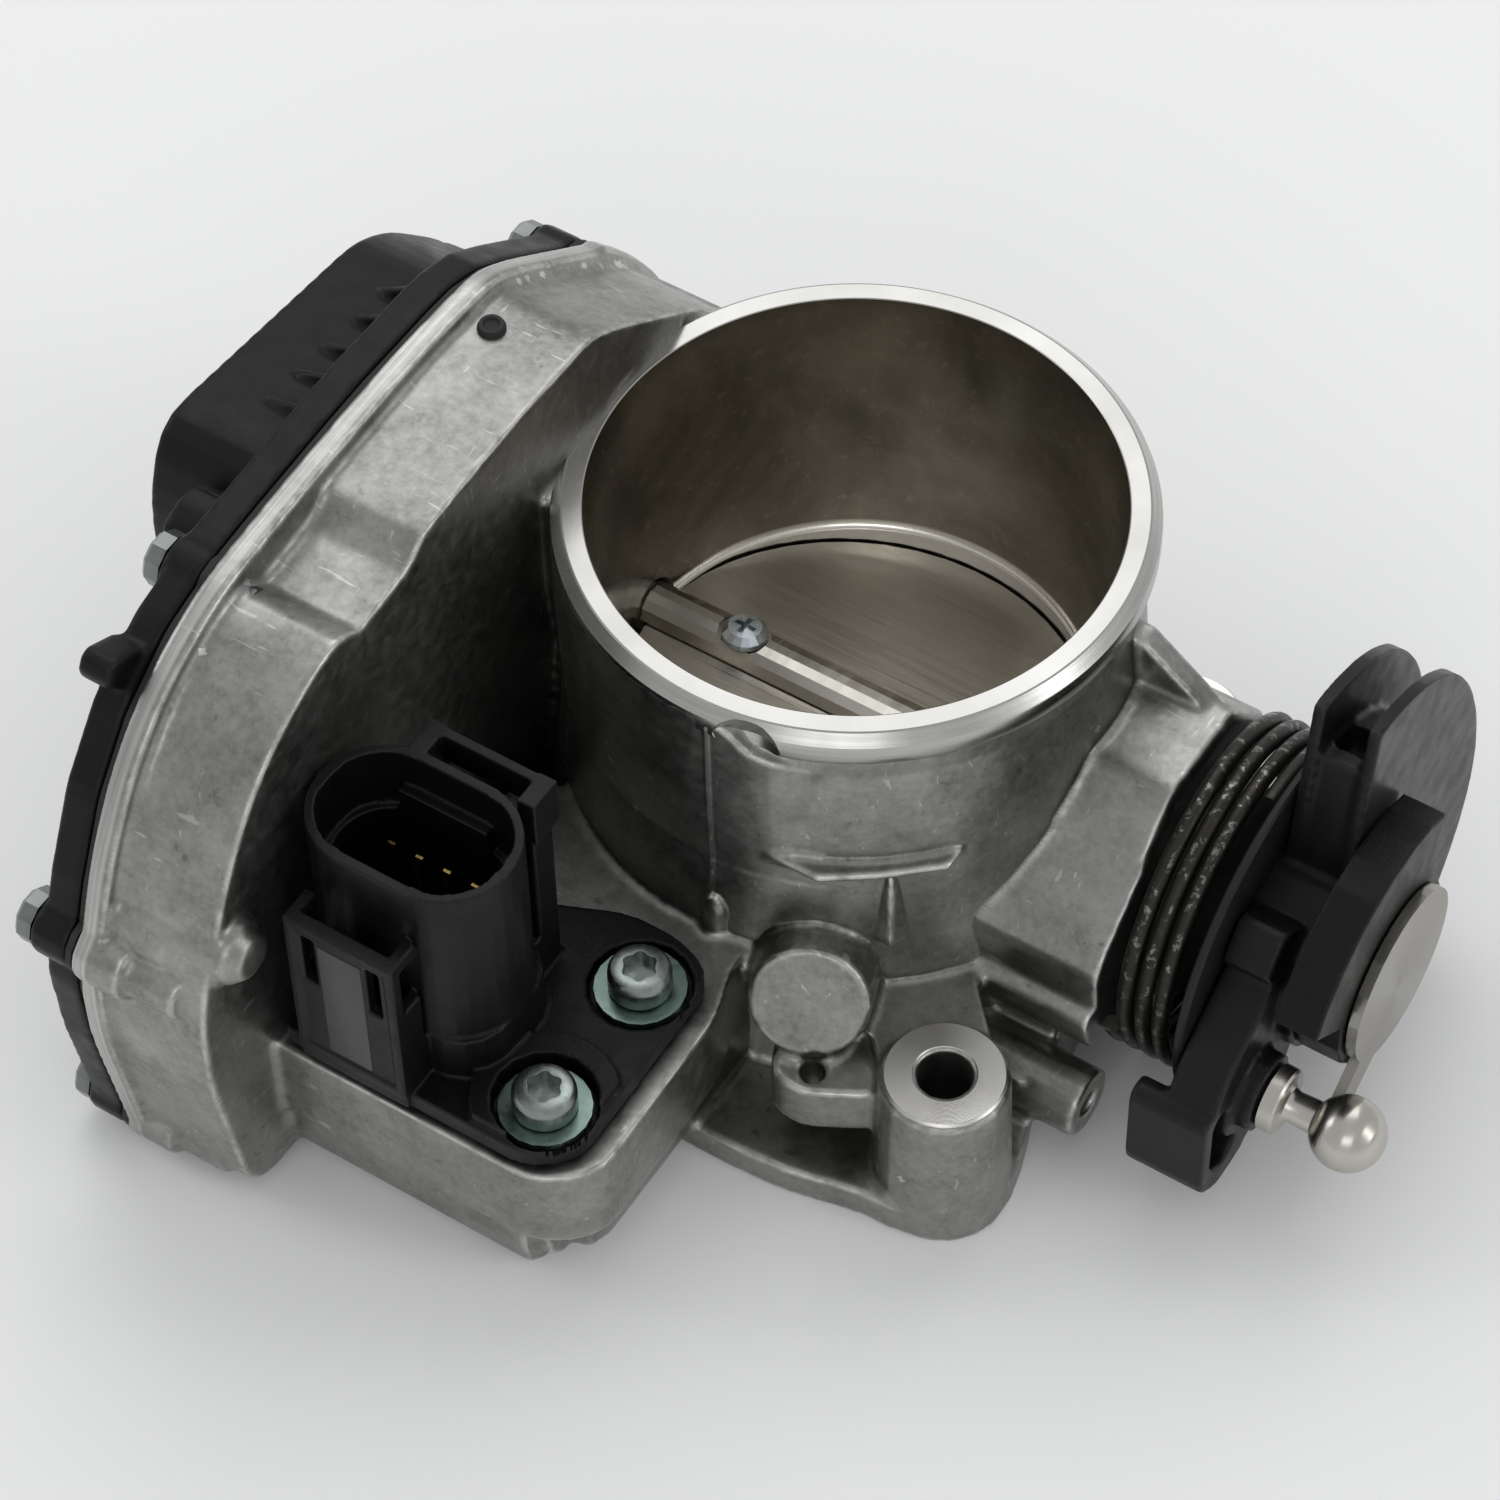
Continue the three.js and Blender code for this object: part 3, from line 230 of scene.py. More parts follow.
def moulded(obj, voxel, soften, fill=0.0):
    """One skin over everything in the mesh, its inner corners filled to a radius of about fill, its edges softened."""

    def remesh():
        m = obj.modifiers.new("skin", "REMESH")
        m.mode, m.voxel_size, m.use_smooth_shade = "VOXEL", voxel / 1000, True

    def swell(by):
        m = obj.modifiers.new("swell", "DISPLACE")
        m.mid_level, m.strength = 0, by / 1000

    remesh()
    if fill:
        swell(fill)
        remesh()
        swell(-fill)
        remesh()
    m = obj.modifiers.new("soften", "SMOOTH")
    m.factor, m.iterations = 0.5, soften
    settle(obj)
    obj.data.shade_smooth()
    return obj


def points_of(obj):
    """The vertices in bore-frame millimetres, as an array."""
    co = np.zeros(len(obj.data.vertices) * 3)
    obj.data.vertices.foreach_get("co", co)
    return (co.reshape(-1, 3) - np.array([BORE.x, BORE.y, 0])) * 1000


def put_points(obj, co):
    co = co / 1000 + np.array([BORE.x, BORE.y, 0])
    obj.data.vertices.foreach_set("co", co.ravel())
    obj.data.update()


def keep_inside(obj):
    """No point of a moulded skin leaves the CAD model's box."""
    low, high = (np.array(c) for c in cad_box)
    shift = np.array([BORE.x, BORE.y, 0])
    co = points_of(obj) / 1000 + shift
    put_points(obj, (np.clip(co, low + 1e-6, high - 1e-6) - shift) * 1000)


def true_round(obj, profile, z0, z1, reach=0.45):
    """Moves skin that lies close to a turned surface (z, radius) exactly onto it, away from the collar."""
    co = points_of(obj)
    r = np.hypot(co[:, 0], co[:, 1])
    angle = np.degrees(np.arctan2(co[:, 1], co[:, 0]))
    free = (co[:, 2] < 40) | ((angle > COLLAR_END + 2) & (angle < 92))
    zs, rs = zip(*profile)
    gap = np.interp(co[:, 2], zs, rs) - r
    share = np.clip((reach - abs(gap)) / (reach * 0.55), 0, 1)
    share = np.where((co[:, 2] > z0) & (co[:, 2] < z1) & free, share * share * (3 - 2 * share), 0)
    co[:, :2] *= (1 + share * gap / np.maximum(r, 1))[:, None]
    put_points(obj, co)


# ---------------------------------------------------------------- materials
class Nodes:
    def __init__(self, name):
        self.material = bpy.data.materials.new(name)
        self.material.use_nodes = True
        self.tree = self.material.node_tree
        self.tree.nodes.clear()
        out = self.tree.nodes.new("ShaderNodeOutputMaterial")
        self.shader = self.tree.nodes.new("ShaderNodeBsdfPrincipled")
        self.tree.links.new(self.shader.outputs[0], out.inputs[0])
        self.where = self.add("ShaderNodeTexCoord").outputs["Object"]

    def add(self, kind, inputs=None, **settings):
        node = self.tree.nodes.new(kind)
        for key, value in settings.items():
            setattr(node, key, value)
        for key, value in (inputs or {}).items():
            self.feed(node.inputs[key], value)
        return node

    def feed(self, socket, value):
        if isinstance(value, bpy.types.NodeSocket):
            self.tree.links.new(value, socket)
        else:
            socket.default_value = value

    def noise(self, scale, detail=4.0, stretch=None, rough=0.55, distortion=0.0, shift=0.0):
        """Noise from 0 to 1, scale in features per metre."""
        at = self.where
        if stretch or shift:
            moved = {"Vector": at, "Scale": stretch or (1, 1, 1), "Location": (shift,) * 3}
            at = self.add("ShaderNodeMapping", moved).outputs[0]
        inputs = {"Vector": at, "Scale": scale, "Detail": detail, "Roughness": rough, "Distortion": distortion}
        return self.add("ShaderNodeTexNoise", inputs).outputs["Fac"]

    def spread(self, value, low, high, to_low=0.0, to_high=1.0):
        inputs = {"Value": value, "From Min": low, "From Max": high, "To Min": to_low, "To Max": to_high}
        return self.add("ShaderNodeMapRange", inputs).outputs[0]

    def mix(self, fac, a, b):
        node = self.add("ShaderNodeMix", data_type="RGBA")
        self.feed(node.inputs[0], fac)
        for socket, value in ((node.inputs[6], a), (node.inputs[7], b)):
            self.feed(socket, value if isinstance(value, bpy.types.NodeSocket) else (*value, 1))
        return node.outputs[2]

    def math(self, how, a, b=0.0):
        node = self.add("ShaderNodeMath", operation=how)
        self.feed(node.inputs[0], a)
        self.feed(node.inputs[1], b)
        return node.outputs[0]

    def edges(self, low, high):
        """0 on flat ground, 1 on outer edges."""
        return self.spread(self.add("ShaderNodeNewGeometry").outputs["Pointiness"], low, high)

    def from_axis(self, centre, axis="x"):
        """Distance in millimetres from a line through centre along the axis."""
        p = place(centre)
        keep = (0, 1, 1) if axis == "x" else (1, 1, 0)
        shift = self.add("ShaderNodeVectorMath", {0: self.where, 1: tuple(p)}, operation="SUBTRACT").outputs[0]
        flat = self.add("ShaderNodeVectorMath", {0: shift, 1: keep}, operation="MULTIPLY").outputs[0]
        length = self.add("ShaderNodeVectorMath", {0: flat}, operation="LENGTH").outputs["Value"]
        return self.math("MULTIPLY", length, 1000.0)

    def height(self):
        """Height above the flange face in millimetres."""
        z = self.add("ShaderNodeSeparateXYZ", {0: self.where}).outputs[2]
        return self.math("MULTIPLY", z, 1000.0)

    def bump(self, *layers):
        """layers are (height 0 to 1, depth in millimetres)."""
        normal = None
        for height, depth in layers:
            node = self.add("ShaderNodeBump", {"Height": height, "Strength": 1.0, "Distance": depth / 1000})
            if normal:
                self.feed(node.inputs["Normal"], normal)
            normal = node.outputs[0]
        self.feed(self.shader.inputs["Normal"], normal)

    def set(self, **values):
        for key, value in values.items():
            name = {"base": "Base Color", "metal": "Metallic", "rough": "Roughness", "aniso": "Anisotropic",
                    "tangent": "Tangent", "specular": "Specular IOR Level"}[key]
            if key == "base" and not isinstance(value, bpy.types.NodeSocket):
                value = (*value, 1)
            self.feed(self.shader.inputs[name], value)
        return self

    def radial(self, axis):
        return self.add("ShaderNodeTangent", direction_type="RADIAL", axis=axis).outputs[0]


def cast_metal():
    """Die-cast skin: fine mottling, small dark flecks and scratches, brighter in patches on its outer edges (rub wear
    and painted highlight), darker in the inner corners (painted shade).
    """
    n = Nodes("cast_aluminium")
    cloud = n.noise(85, 10, rough=0.68)
    grains = n.noise(900, 6, rough=0.7, shift=5)
    base = n.mix(n.spread(cloud, 0.38, 0.64), (0.185, 0.183, 0.174), (0.33, 0.327, 0.313))
    base = n.mix(n.math("MULTIPLY", n.spread(grains, 0.35, 0.7), 0.4), base, (0.46, 0.455, 0.435))
    flecks = n.math("MULTIPLY", n.spread(n.noise(520, 5, rough=0.65, shift=7), 0.6, 0.68),
                    n.spread(n.noise(60, 3, shift=9), 0.45, 0.6))
    base = n.mix(n.math("MULTIPLY", flecks, 0.5), base, (0.09, 0.089, 0.085))
    scratch = n.math("MAXIMUM", n.spread(n.noise(130, 3, stretch=(1, 9, 2), rough=0.6, shift=4), 0.66, 0.7),
                     n.spread(n.noise(140, 3, stretch=(7, 1, 4), rough=0.6, shift=8), 0.68, 0.72))
    base = n.mix(n.math("MULTIPLY", scratch, 0.45), base, (0.62, 0.61, 0.585))
    # outer edges brighter in patches: partly rub wear, partly painted highlight
    worn = n.math("MULTIPLY", n.edges(0.508, 0.54), n.spread(n.noise(300, 5), 0.3, 0.55))
    base = n.mix(n.math("MULTIPLY", worn, 0.75), base, (0.66, 0.65, 0.62))
    # painted shade: darker in the concave corners
    base = n.mix(n.math("MULTIPLY", n.edges(0.49, 0.455), 0.5), base, (0.085, 0.082, 0.075))
    rough = n.spread(n.noise(420, 6, rough=0.7, shift=1), 0.3, 0.7, 0.3, 0.46)
    # trimmed edge of the gear case along the gasket
    x = n.add("ShaderNodeSeparateXYZ", {0: n.where}).outputs[0]
    trimmed = n.spread(x, BORE.x - 0.0500, BORE.x - 0.0503)
    lines = n.noise(20, 3, stretch=(90, 1, 1), rough=0.8)
    base = n.mix(n.math("MULTIPLY", trimmed, 0.75), base,
                 n.mix(n.spread(lines, 0.35, 0.65), (0.34, 0.34, 0.325), (0.6, 0.595, 0.57)))
    n.set(base=base, metal=1.0, rough=rough)
    n.bump((n.noise(110, 6, rough=0.55, shift=2), 0.1), (n.noise(1100, 5, rough=0.65), 0.022), (scratch, -0.006))
    return n.material


def machined(name, base, rough, lines, depth):
    """Metal turned about the X axis: fine rings and a highlight that runs across them."""
    n = Nodes(name)
    grain = n.noise(26, 3, stretch=lines, rough=0.7)
    tint = n.mix(n.spread(n.noise(90, 4), 0.3, 0.7), [c * 0.86 for c in base], base)
    n.set(base=tint, metal=1.0, rough=n.spread(grain, 0.3, 0.7, rough * 0.8, rough * 1.25), aniso=0.75,
          tangent=n.radial("X"))
    n.bump((grain, depth))
    return n.material


def faced(name, base, rough, centre, axis):
    """A face cut on a lathe: fine rings round the centre, which spread the highlight out from it."""
    n = Nodes(name)
    away = n.from_axis(centre, axis)
    rings = n.math("SINE", n.math("MULTIPLY", n.math("ADD", away, n.math("MULTIPLY", n.noise(160, 3), 0.05)), 34.0))
    tint = n.mix(n.spread(n.noise(140, 5), 0.3, 0.7), [c * 0.85 for c in base], base)
    n.set(base=tint, metal=1.0, rough=rough, aniso=0.85, tangent=n.radial(axis.upper()))
    n.bump((rings, 0.0015), (n.noise(900, 3), 0.003))
    return n.material


def bore_metal():
    """Rim, bead and bore are one turned surface: bright on the rim and the throat, darker and brownish in between."""
    n = Nodes("bore_aluminium")
    z = n.height()
    rings = n.noise(30, 3, stretch=(1, 1, 90), rough=0.7)
    cloud = n.noise(38, 6, rough=0.6, distortion=0.4)
    inside = n.mix(n.spread(cloud, 0.35, 0.65), (0.17, 0.157, 0.13), (0.4, 0.374, 0.318))
    inside = n.mix(n.math("MULTIPLY", n.spread(n.noise(420, 5, rough=0.7), 0.57, 0.7), 0.4), inside, (0.56, 0.51, 0.41))
    bright = n.mix(n.spread(rings, 0.3, 0.7), (0.42, 0.415, 0.395), (0.52, 0.515, 0.495))
    bright = n.mix(n.spread(z, 45, 30), bright, (0.86, 0.84, 0.79))
    away = n.from_axis((0, 0, 0), "z")
    turned_part = n.math("MAXIMUM", n.spread(away, 33.95, 34.15), n.spread(z, 29.4, 28.9))
    base = n.mix(turned_part, inside, bright)
    rough = n.math("ADD", n.spread(n.noise(130, 5), 0.3, 0.7, 0.24, 0.34), n.math("MULTIPLY", turned_part, -0.04))
    n.set(base=base, metal=1.0, rough=rough, aniso=0.5, tangent=n.radial("Z"))
    n.bump((rings, 0.01), (n.noise(260, 4, rough=0.6), 0.02))
    return n.material


def plate_metal():
    n = Nodes("plate_metal")
    brush = n.noise(60, 4, stretch=(1, 42, 1), rough=0.7)
    base = n.mix(n.spread(brush, 0.3, 0.7), (0.42, 0.395, 0.345), (0.54, 0.512, 0.45))
    base = n.mix(n.math("MULTIPLY", n.spread(n.noise(45, 5), 0.45, 0.7), 0.4), base, (0.72, 0.69, 0.62))
    n.set(base=base, metal=1.0, rough=n.spread(brush, 0.3, 0.7, 0.26, 0.42))
    n.bump((brush, 0.008))
    return n.material


def plastic(name, base, rough=0.5, grain=0.02, scale=3800):
    """Fine-grained moulding, paler in dusty patches, with a painted highlight along its outer edges."""
    n = Nodes(name)
    dust = n.spread(n.noise(120, 6, rough=0.65), 0.45, 0.75)
    tone = n.mix(n.math("MULTIPLY", dust, 0.35), base, [c * 1.6 + 0.003 for c in base])
    # painted highlight: paler along the outer edges
    tone = n.mix(n.math("MULTIPLY", n.edges(0.515, 0.57), 0.6), tone, [c * 2.6 + 0.014 for c in base])
    spark = n.add("ShaderNodeTexVoronoi", {"Vector": n.where, "Scale": scale * 0.55}).outputs["Distance"]
    n.set(base=tone, rough=n.spread(n.noise(300, 4), 0.3, 0.7, rough - 0.06, rough + 0.08), specular=0.19)
    n.bump((n.noise(scale, 3, rough=0.6), grain), (spark, grain * 0.8))
    return n.material


def rubber():
    n = Nodes("black_rubber")
    n.set(base=n.mix(n.noise(400, 4), (0.008, 0.008, 0.008), (0.02, 0.02, 0.019)), rough=0.72)
    n.bump((n.noise(1500, 3), 0.02))
    return n.material


def spring_metal():
    """Dark drawn wire; the crowns that rub in packing show bright flecks."""
    n = Nodes("spring_steel")
    along = n.noise(650, 5, rough=0.7, distortion=0.4)
    crown = n.spread(n.from_axis((0, 0, SHAFT_Z)), 22.9, 23.3)
    fleck = n.math("MULTIPLY", crown, n.spread(along, 0.55, 0.62))
    base = n.mix(n.noise(90, 4), (0.022, 0.021, 0.018), (0.055, 0.052, 0.045))
    base = n.mix(n.math("MULTIPLY", fleck, 0.6), base, (0.34, 0.33, 0.3))
    n.set(base=base, metal=0.9, rough=n.spread(along, 0.4, 0.65, 0.5, 0.3))
    n.bump((n.noise(900, 3), 0.03))
    return n.material


def zinc(name="zinc_plated", tint=(0.25, 0.285, 0.268)):
    n = Nodes(name)
    cloud = n.noise(700, 4, rough=0.6)
    base = n.mix(n.spread(cloud, 0.3, 0.7), [c * 0.72 for c in tint], tint)
    worn = n.edges(0.52, 0.6)
    base = n.mix(n.math("MULTIPLY", worn, 0.5), base, [c * 1.7 for c in tint])
    n.set(base=base, metal=1.0, rough=n.spread(cloud, 0.3, 0.7, 0.24, 0.4))
    n.bump((n.noise(1600, 3), 0.012))
    return n.material


def gold():
    n = Nodes("contact_gold")
    n.set(base=n.mix(n.noise(900, 3), (0.62, 0.38, 0.12), (0.85, 0.6, 0.24)), metal=1.0, rough=0.24)
    n.bump((n.noise(2500, 2), 0.006))
    return n.material


def natural_plastic():
    n = Nodes("natural_plastic")
    n.set(base=n.mix(n.noise(150, 5), (0.52, 0.47, 0.36), (0.66, 0.62, 0.5)), rough=0.45)
    n.bump((n.noise(1800, 3), 0.02))
    return n.material


def board_material():
    n = Nodes("circuit_board")
    n.set(base=n.mix(n.spread(n.noise(500, 2), 0.45, 0.55), (0.01, 0.09, 0.04), (0.02, 0.16, 0.08)), rough=0.35)
    n.bump((n.noise(700, 2), 0.03))
    return n.material


def galvanised():
    n = Nodes("galvanised_steel")
    cells = n.add("ShaderNodeTexVoronoi", {"Vector": n.where, "Scale": 260.0}).outputs["Distance"]
    n.set(base=n.mix(cells, (0.3, 0.31, 0.32), (0.5, 0.51, 0.52)), metal=1.0, rough=n.spread(cells, 0, 0.7, 0.3, 0.48))
    n.bump((n.noise(900, 3), 0.02))
    return n.material


CAST = cast_metal()
BORE_METAL = bore_metal()
PLATE = plate_metal()
BLACK = plastic("black_plastic", (0.0042, 0.0042, 0.004), 0.38)
# paler plastic of the guard panel: its colour is a painted sheen
PAINTED_SHEEN_PLASTIC = plastic("panel_plastic_painted_sheen", (0.03, 0.03, 0.029), 0.36, grain=0.008)
WHEEL = plastic("wheel_plastic", (0.009, 0.009, 0.0087), 0.34, grain=0.01, scale=2600)
RUBBER = rubber()
SPRING = spring_metal()
ZINC = zinc()
GOLD = gold()
NATURAL = natural_plastic()
BOARD = board_material()
GALVANISED = galvanised()
STEEL = machined("bright_steel", (0.56, 0.54, 0.49), 0.25, (14, 1, 1), depth=0.001)
COVER_SCREW = zinc("dull_zinc", (0.16, 0.17, 0.165))
WASHER = zinc("washer_zinc", (0.17, 0.235, 0.21))
PLATE_SCREW = zinc("plate_screw_zinc", (0.52, 0.58, 0.62))
CAP = faced("cap_steel", (0.36, 0.345, 0.31), 0.26, (0, 0, SHAFT_Z), "x")


def dress(obj, material, body, slot, *replaced):
    keep_inside(obj)
    obj.data.materials.clear()
    obj.data.materials.append(material)
    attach(obj, body)
    if replaced:
        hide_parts(*replaced)
    return obj


# ---------------------------------------------------------------- floor, light, camera
def studio():
    floor = bpy.data.objects.new("floor", bpy.data.meshes.new("floor"))
    floor.data.from_pydata([(-3, -3, 0), (3, -3, 0), (3, 3, 0), (-3, 3, 0)], [], [(0, 1, 2, 3)])
    bpy.context.scene.collection.objects.link(floor)
    n = Nodes("pale_floor")
    n.set(base=(0.9, 0.9, 0.895), rough=0.85)
    floor.data.materials.append(n.material)

    world = bpy.data.worlds.new("studio")
    bpy.context.scene.world = world
    world.use_nodes = True
    world.node_tree.nodes["Background"].inputs[0].default_value = (0.97, 0.98, 1, 1)
    world.node_tree.nodes["Background"].inputs[1].default_value = 0.62

    for name, at, size, glow in (
        ("top", (-0.5, 0.9, 1.5), (1.7, 1.3), 1.35),
        ("front", (0.7, -1.5, 1.1), (1.0, 0.7), 1.5),
        ("right", (1.7, 0.3, 0.9), (0.6, 1.1), 2.2),
        ("left", (-1.7, -0.5, 1.3), (0.7, 0.7), 2.6),
    ):
        power = glow * math.pi * size[0] * size[1]
        light = bpy.data.lights.new(name, "AREA")
        light.shape, light.size, light.size_y, light.energy = "RECTANGLE", *size, power
        lamp = bpy.data.objects.new(name, light)
        lamp.location = at
        lamp.rotation_euler = (Vector((0, 0, 0.03)) - lamp.location).to_track_quat("-Z", "Y").to_euler()
        bpy.context.scene.collection.objects.link(lamp)
    bpy.context.scene.view_settings.view_transform = "Standard"


def camera():
    cam = bpy.data.objects.new("camera", bpy.data.cameras.new("camera"))
    cam.data.lens, cam.data.sensor_width = 120, 36
    cam.data.clip_start, cam.data.clip_end = 0.05, 20
    elevation, azimuth, roll = math.radians(52.1), math.radians(33.65), math.radians(-1.35)
    flat = math.cos(elevation)
    back = Vector((math.sin(azimuth) * flat, -math.cos(azimuth) * flat, math.sin(elevation)))
    cam.rotation_mode = "QUATERNION"
    turn = (-back).to_track_quat("-Z", "Y").to_matrix() @ Matrix.Rotation(roll, 3, "Z")
    cam.rotation_quaternion = turn.to_quaternion()
    cam.location = place((212.8, -344.7, 540.1))
    bpy.context.scene.collection.objects.link(cam)
    bpy.context.scene.camera = cam


studio()
camera()

# ---------------------------------------------------------------- casting
CASE_BACK_X, CASE_LIP_X, CASE_FRONT_X = -34.4, -49.1, -52.5
# outline of the gear case, y and z
CASE = [(-90, 1.8), (-94.5, 32), (-94, 45), (-88.4, 60.5), (-82, 71.3), (-74, 78.8), (-63, 84), (-43, 86),
        (-21, 87), (-6, 86), (0, 82.5), (21.5, 67), (31, 52), (32, 12), (22, 1.8)]
TOP_EDGE = CASE[2:13]
# height and radius of the barrel's skin
BARREL = [(5, 41), (14, 40.2), (30, 38.4), (50, 37), (60, 35.8), (64, 35.8)]
COLLAR_END = -66  # degrees round the bore, where the raised collar runs out
MARK_Z = 45.3  # top of the small ledge on the barrel
SEAM = -86.6  # degrees round the bore, where the die halves meet

# depth of the gear case's top below its lip at each y: even at the back, a nose and a trough, then the front
TOP_DEPTHS = [(-94, 0.7), (-66, 0.8), (-61, 1.2), (-58.6, 2.6), (-56.6, 4.1), (-47.6, 4.0), (-45.6, 3.4), (-42.8, 1.5),
              (-38, 1.3), (-14, 0.9), (-6, 0.5), (30, 0.5)]
# bolt seats: x, y and top
BOLT_SEATS = [(38.6, -41, 25), (-25.5, -41, 25), (31, 34.5, 10), (-31, 38, 10)]
SEAT_R = 7.9


def case_top():
    """A cutter that lowers the top of the gear case behind its lip by TOP_DEPTHS."""
    path = []
    corners = rounded(TOP_EDGE, 7, 6)
    for (y0, z0), (y1, z1) in zip(corners, corners[1:]):
        count = max(1, int(math.hypot(y1 - y0, z1 - z0) / 0.8))
        for k in range(count):
            t = k / count
            path.append((y0 + (y1 - y0) * t, z0 + (z1 - z0) * t))
    path = path[12:-12]  # the rounded ends of the open outline are left off
    inner, outer = [], []
    for i in range(1, len(path) - 1):
        dy, dz = path[i + 1][0] - path[i - 1][0], path[i + 1][1] - path[i - 1][1]
        length = math.hypot(dy, dz) or 1
        ny, nz = -dz / length, dy / length
        y, z = path[i]
        depth = np.interp(y, *zip(*TOP_DEPTHS))
        inner.append((y - ny * depth, z - nz * depth))
        outer.append((y + ny * 6, z + nz * 6))
    return prism("case_top", inner + outer[::-1], CASE_LIP_X, -28, "x")


def collar():
    """On the left the casting stands up to the rim; it runs out at the front, where the turned bead comes free."""
    verts, faces = [], []
    angles = list(range(COLLAR_END, COLLAR_END - 210, -2))
    for a in angles:
        front = a > -180
        if front:
            top = np.interp(a, [-88, -83, -78, COLLAR_END], [68.4, 67.4, 64, 61.6])
            more = np.interp(a, [-90, -74, COLLAR_END], [1.3, 0.8, -0.5])
        else:
            top, more = np.interp(a, [-273, -262], [59, 68.4]), 1.3
        for r, z in ((34.8, 40), (37.6 + min(more, 0), 40), (36.85 + more, 52), (36.85 + more, top), (34.8, top)):
            verts.append((r * math.cos(math.radians(a)), r * math.sin(math.radians(a)), z))
    for k in range(len(angles) - 1):
        for j in range(5):
            faces.append([5 * k + j, 5 * k + (j + 1) % 5, 5 * k + 5 + (j + 1) % 5, 5 * k + 5 + j])
    last = 5 * (len(angles) - 1)
    return piece("collar", verts, [*faces, [0, 1, 2, 3, 4], [last + j for j in range(5)]])


def scoop():
    """Cutter for the gouge where the collar and the turned bead meet."""
    profile = [(0, -7.2), (3.2, -6), (5.6, -3), (6.4, 0), (5.6, 3), (3.2, 6), (0, 7.2)]
    return turned("scoop", profile, (8.4, -41.6, 66.4), sides=40)


def casting():
    body = copy_of("throttle_housing", "casting_body")
    bore = [(0, -1), (32.4, -1), (32.4, 12), (31.9, 15), (31.9, 28.3), (34.6, 69), (34.6, 72), (0, 72)]
    # the room for the turned rim stops at the inner face of the gear case
    rim_room = turned("rim_room", [(30, 64.1), (45, 64.1), (45, 75), (30, 75)], sides=64, loop=True)
    cut(rim_room, block("case_side", -60, CASE_BACK_X, -60, 60, 60, 80))
    cut(body, turned("bore_room", bore, sides=64), rim_room)
    wall = rounded(offset(CASE, -2.6), 6, 8)
    shell = band("case_wall", rounded(CASE, 7, 8), wall, CASE_FRONT_X, CASE_BACK_X)
    # thicker wall under the trough, so that the trough doesn't break through
    inside = rounded(offset(CASE, -5.7), 6, 8)
    backing = band("case_backing", rounded(offset(CASE, -1), 7, 8), inside, -50.4, CASE_BACK_X - 0.5)
    below = block("below", -60, -20, -110, 50, -5, 44)
    behind = block("behind", -60, -20, -41, 50, 0, 100)
    before = block("before", -60, -20, -110, -62, 0, 100)
    cut(backing, below, behind, before)
    top_cut = case_top()
    for part in (body, shell, backing):
        cut(part, top_cut, keep=True)
    drop(top_cut)
    lip = band("case_lip", rounded(offset(CASE, 1.2), 7, 8), wall, CASE_FRONT_X, CASE_LIP_X)
    marks = [
        shell,
        backing,
        lip,
        collar(),
        # small ledge on the front of the barrel, and the wedge under it
        prism(
            "mark",
            [(9.4, -36.6), (17, -36.6), (23.5, -32), (30, -26.2), (30.1, -22.6), (20, -20), (9, -30)],
            MARK_Z - 1.3,
            MARK_Z,
        ),
        piece(
            "wedge",
            [(23.9, -30.1, 43.6), (21.6, -31.2, 30), (26, -28.4, 30), (24.9, -31.9, 30.6), (20, -25, 43), (20, -25, 29)],
            [(0, 1, 3), (0, 3, 2), (1, 2, 3), (0, 4, 1), (0, 2, 4), (1, 4, 5), (1, 5, 2), (2, 5, 4)],
        ),
        # closes the CAD's plug hole down to the size of the small plug
        turned("plug_seat", [(1.9, 79), (3.4, 79), (3.4, 85.4), (1.9, 85.4)], (-45.8, -11.5, 0), sides=24, loop=True),
        # backing behind the gouge in the rim
        turned("gouge_floor", [(34.7, 60), (35.9, 60), (35.9, 68.6), (34.7, 68.6)], sides=128, loop=True),
        # column between the barrel and the connector pad
        turned("column", [(0, 4), (2.1, 4), (2.1, 31.4), (1.3, 33.6), (0, 34.2)], (2.8, -37.4, 0), sides=20),
        # two lobes over the front of the gear case
        turned("lobe_1", [(0, -48), (4.6, -48), (5, -45), (4.8, -40.8), (3.4, -39.6), (0, -39.4)],
               (0, -87.8, 50.2), "x", 28),
        turned("lobe_2", [(0, -40), (4.2, -39.2), (4.9, -37.8), (4.4, -33), (2.8, -31.2), (0, -31)],
               (0, -86.6, 51.8), "x", 28),
        # bearing boss: raised block on top, ridge along its lower front edge, rib back to the barrel
        prism(
            "boss_top",
            rounded([(-11.6, 41.4), (-3.9, 48.6), (11.4, 48.6), (20.8, 38), (18.6, 36.4), (9.6, 43), (-3, 43),
                     (-9.6, 39.6)], 1.4, 3),
            36,
            48.9,
            "x",
        ),
        prism(
            "boss_ridge",
            rounded([(-22.6, 15.6), (-24, 21.4), (-20.6, 24.4), (-15, 20), (-15, 13)], 1.2, 3),
            28,
            49,
            "x",
        ),
        prism("boss_rib", [(34, 47), (34, 56), (36.4, 56), (45, 49.4), (48, 47)], 9, 12.6, "y"),
    ]
    joined(body, *marks)
    moulded(body, 0.36, soften=2, fill=0.6)
    true_round(body, BARREL, 6, 64)
    # parting line down the barrel
    co = points_of(body)
    angle = np.degrees(np.arctan2(co[:, 1], co[:, 0]))
    r = np.hypot(co[:, 0], co[:, 1])
    on_line = np.clip(1 - abs(angle - SEAM) / 0.55, 0, 1) * ((co[:, 2] > 33) & (co[:, 2] < 67) & (r > 36.5))
    co[:, :2] *= (1 + 0.3 * on_line / r)[:, None]
    put_points(body, co)
    dress(body, CAST, "housing", "cast_aluminium", "throttle_housing")

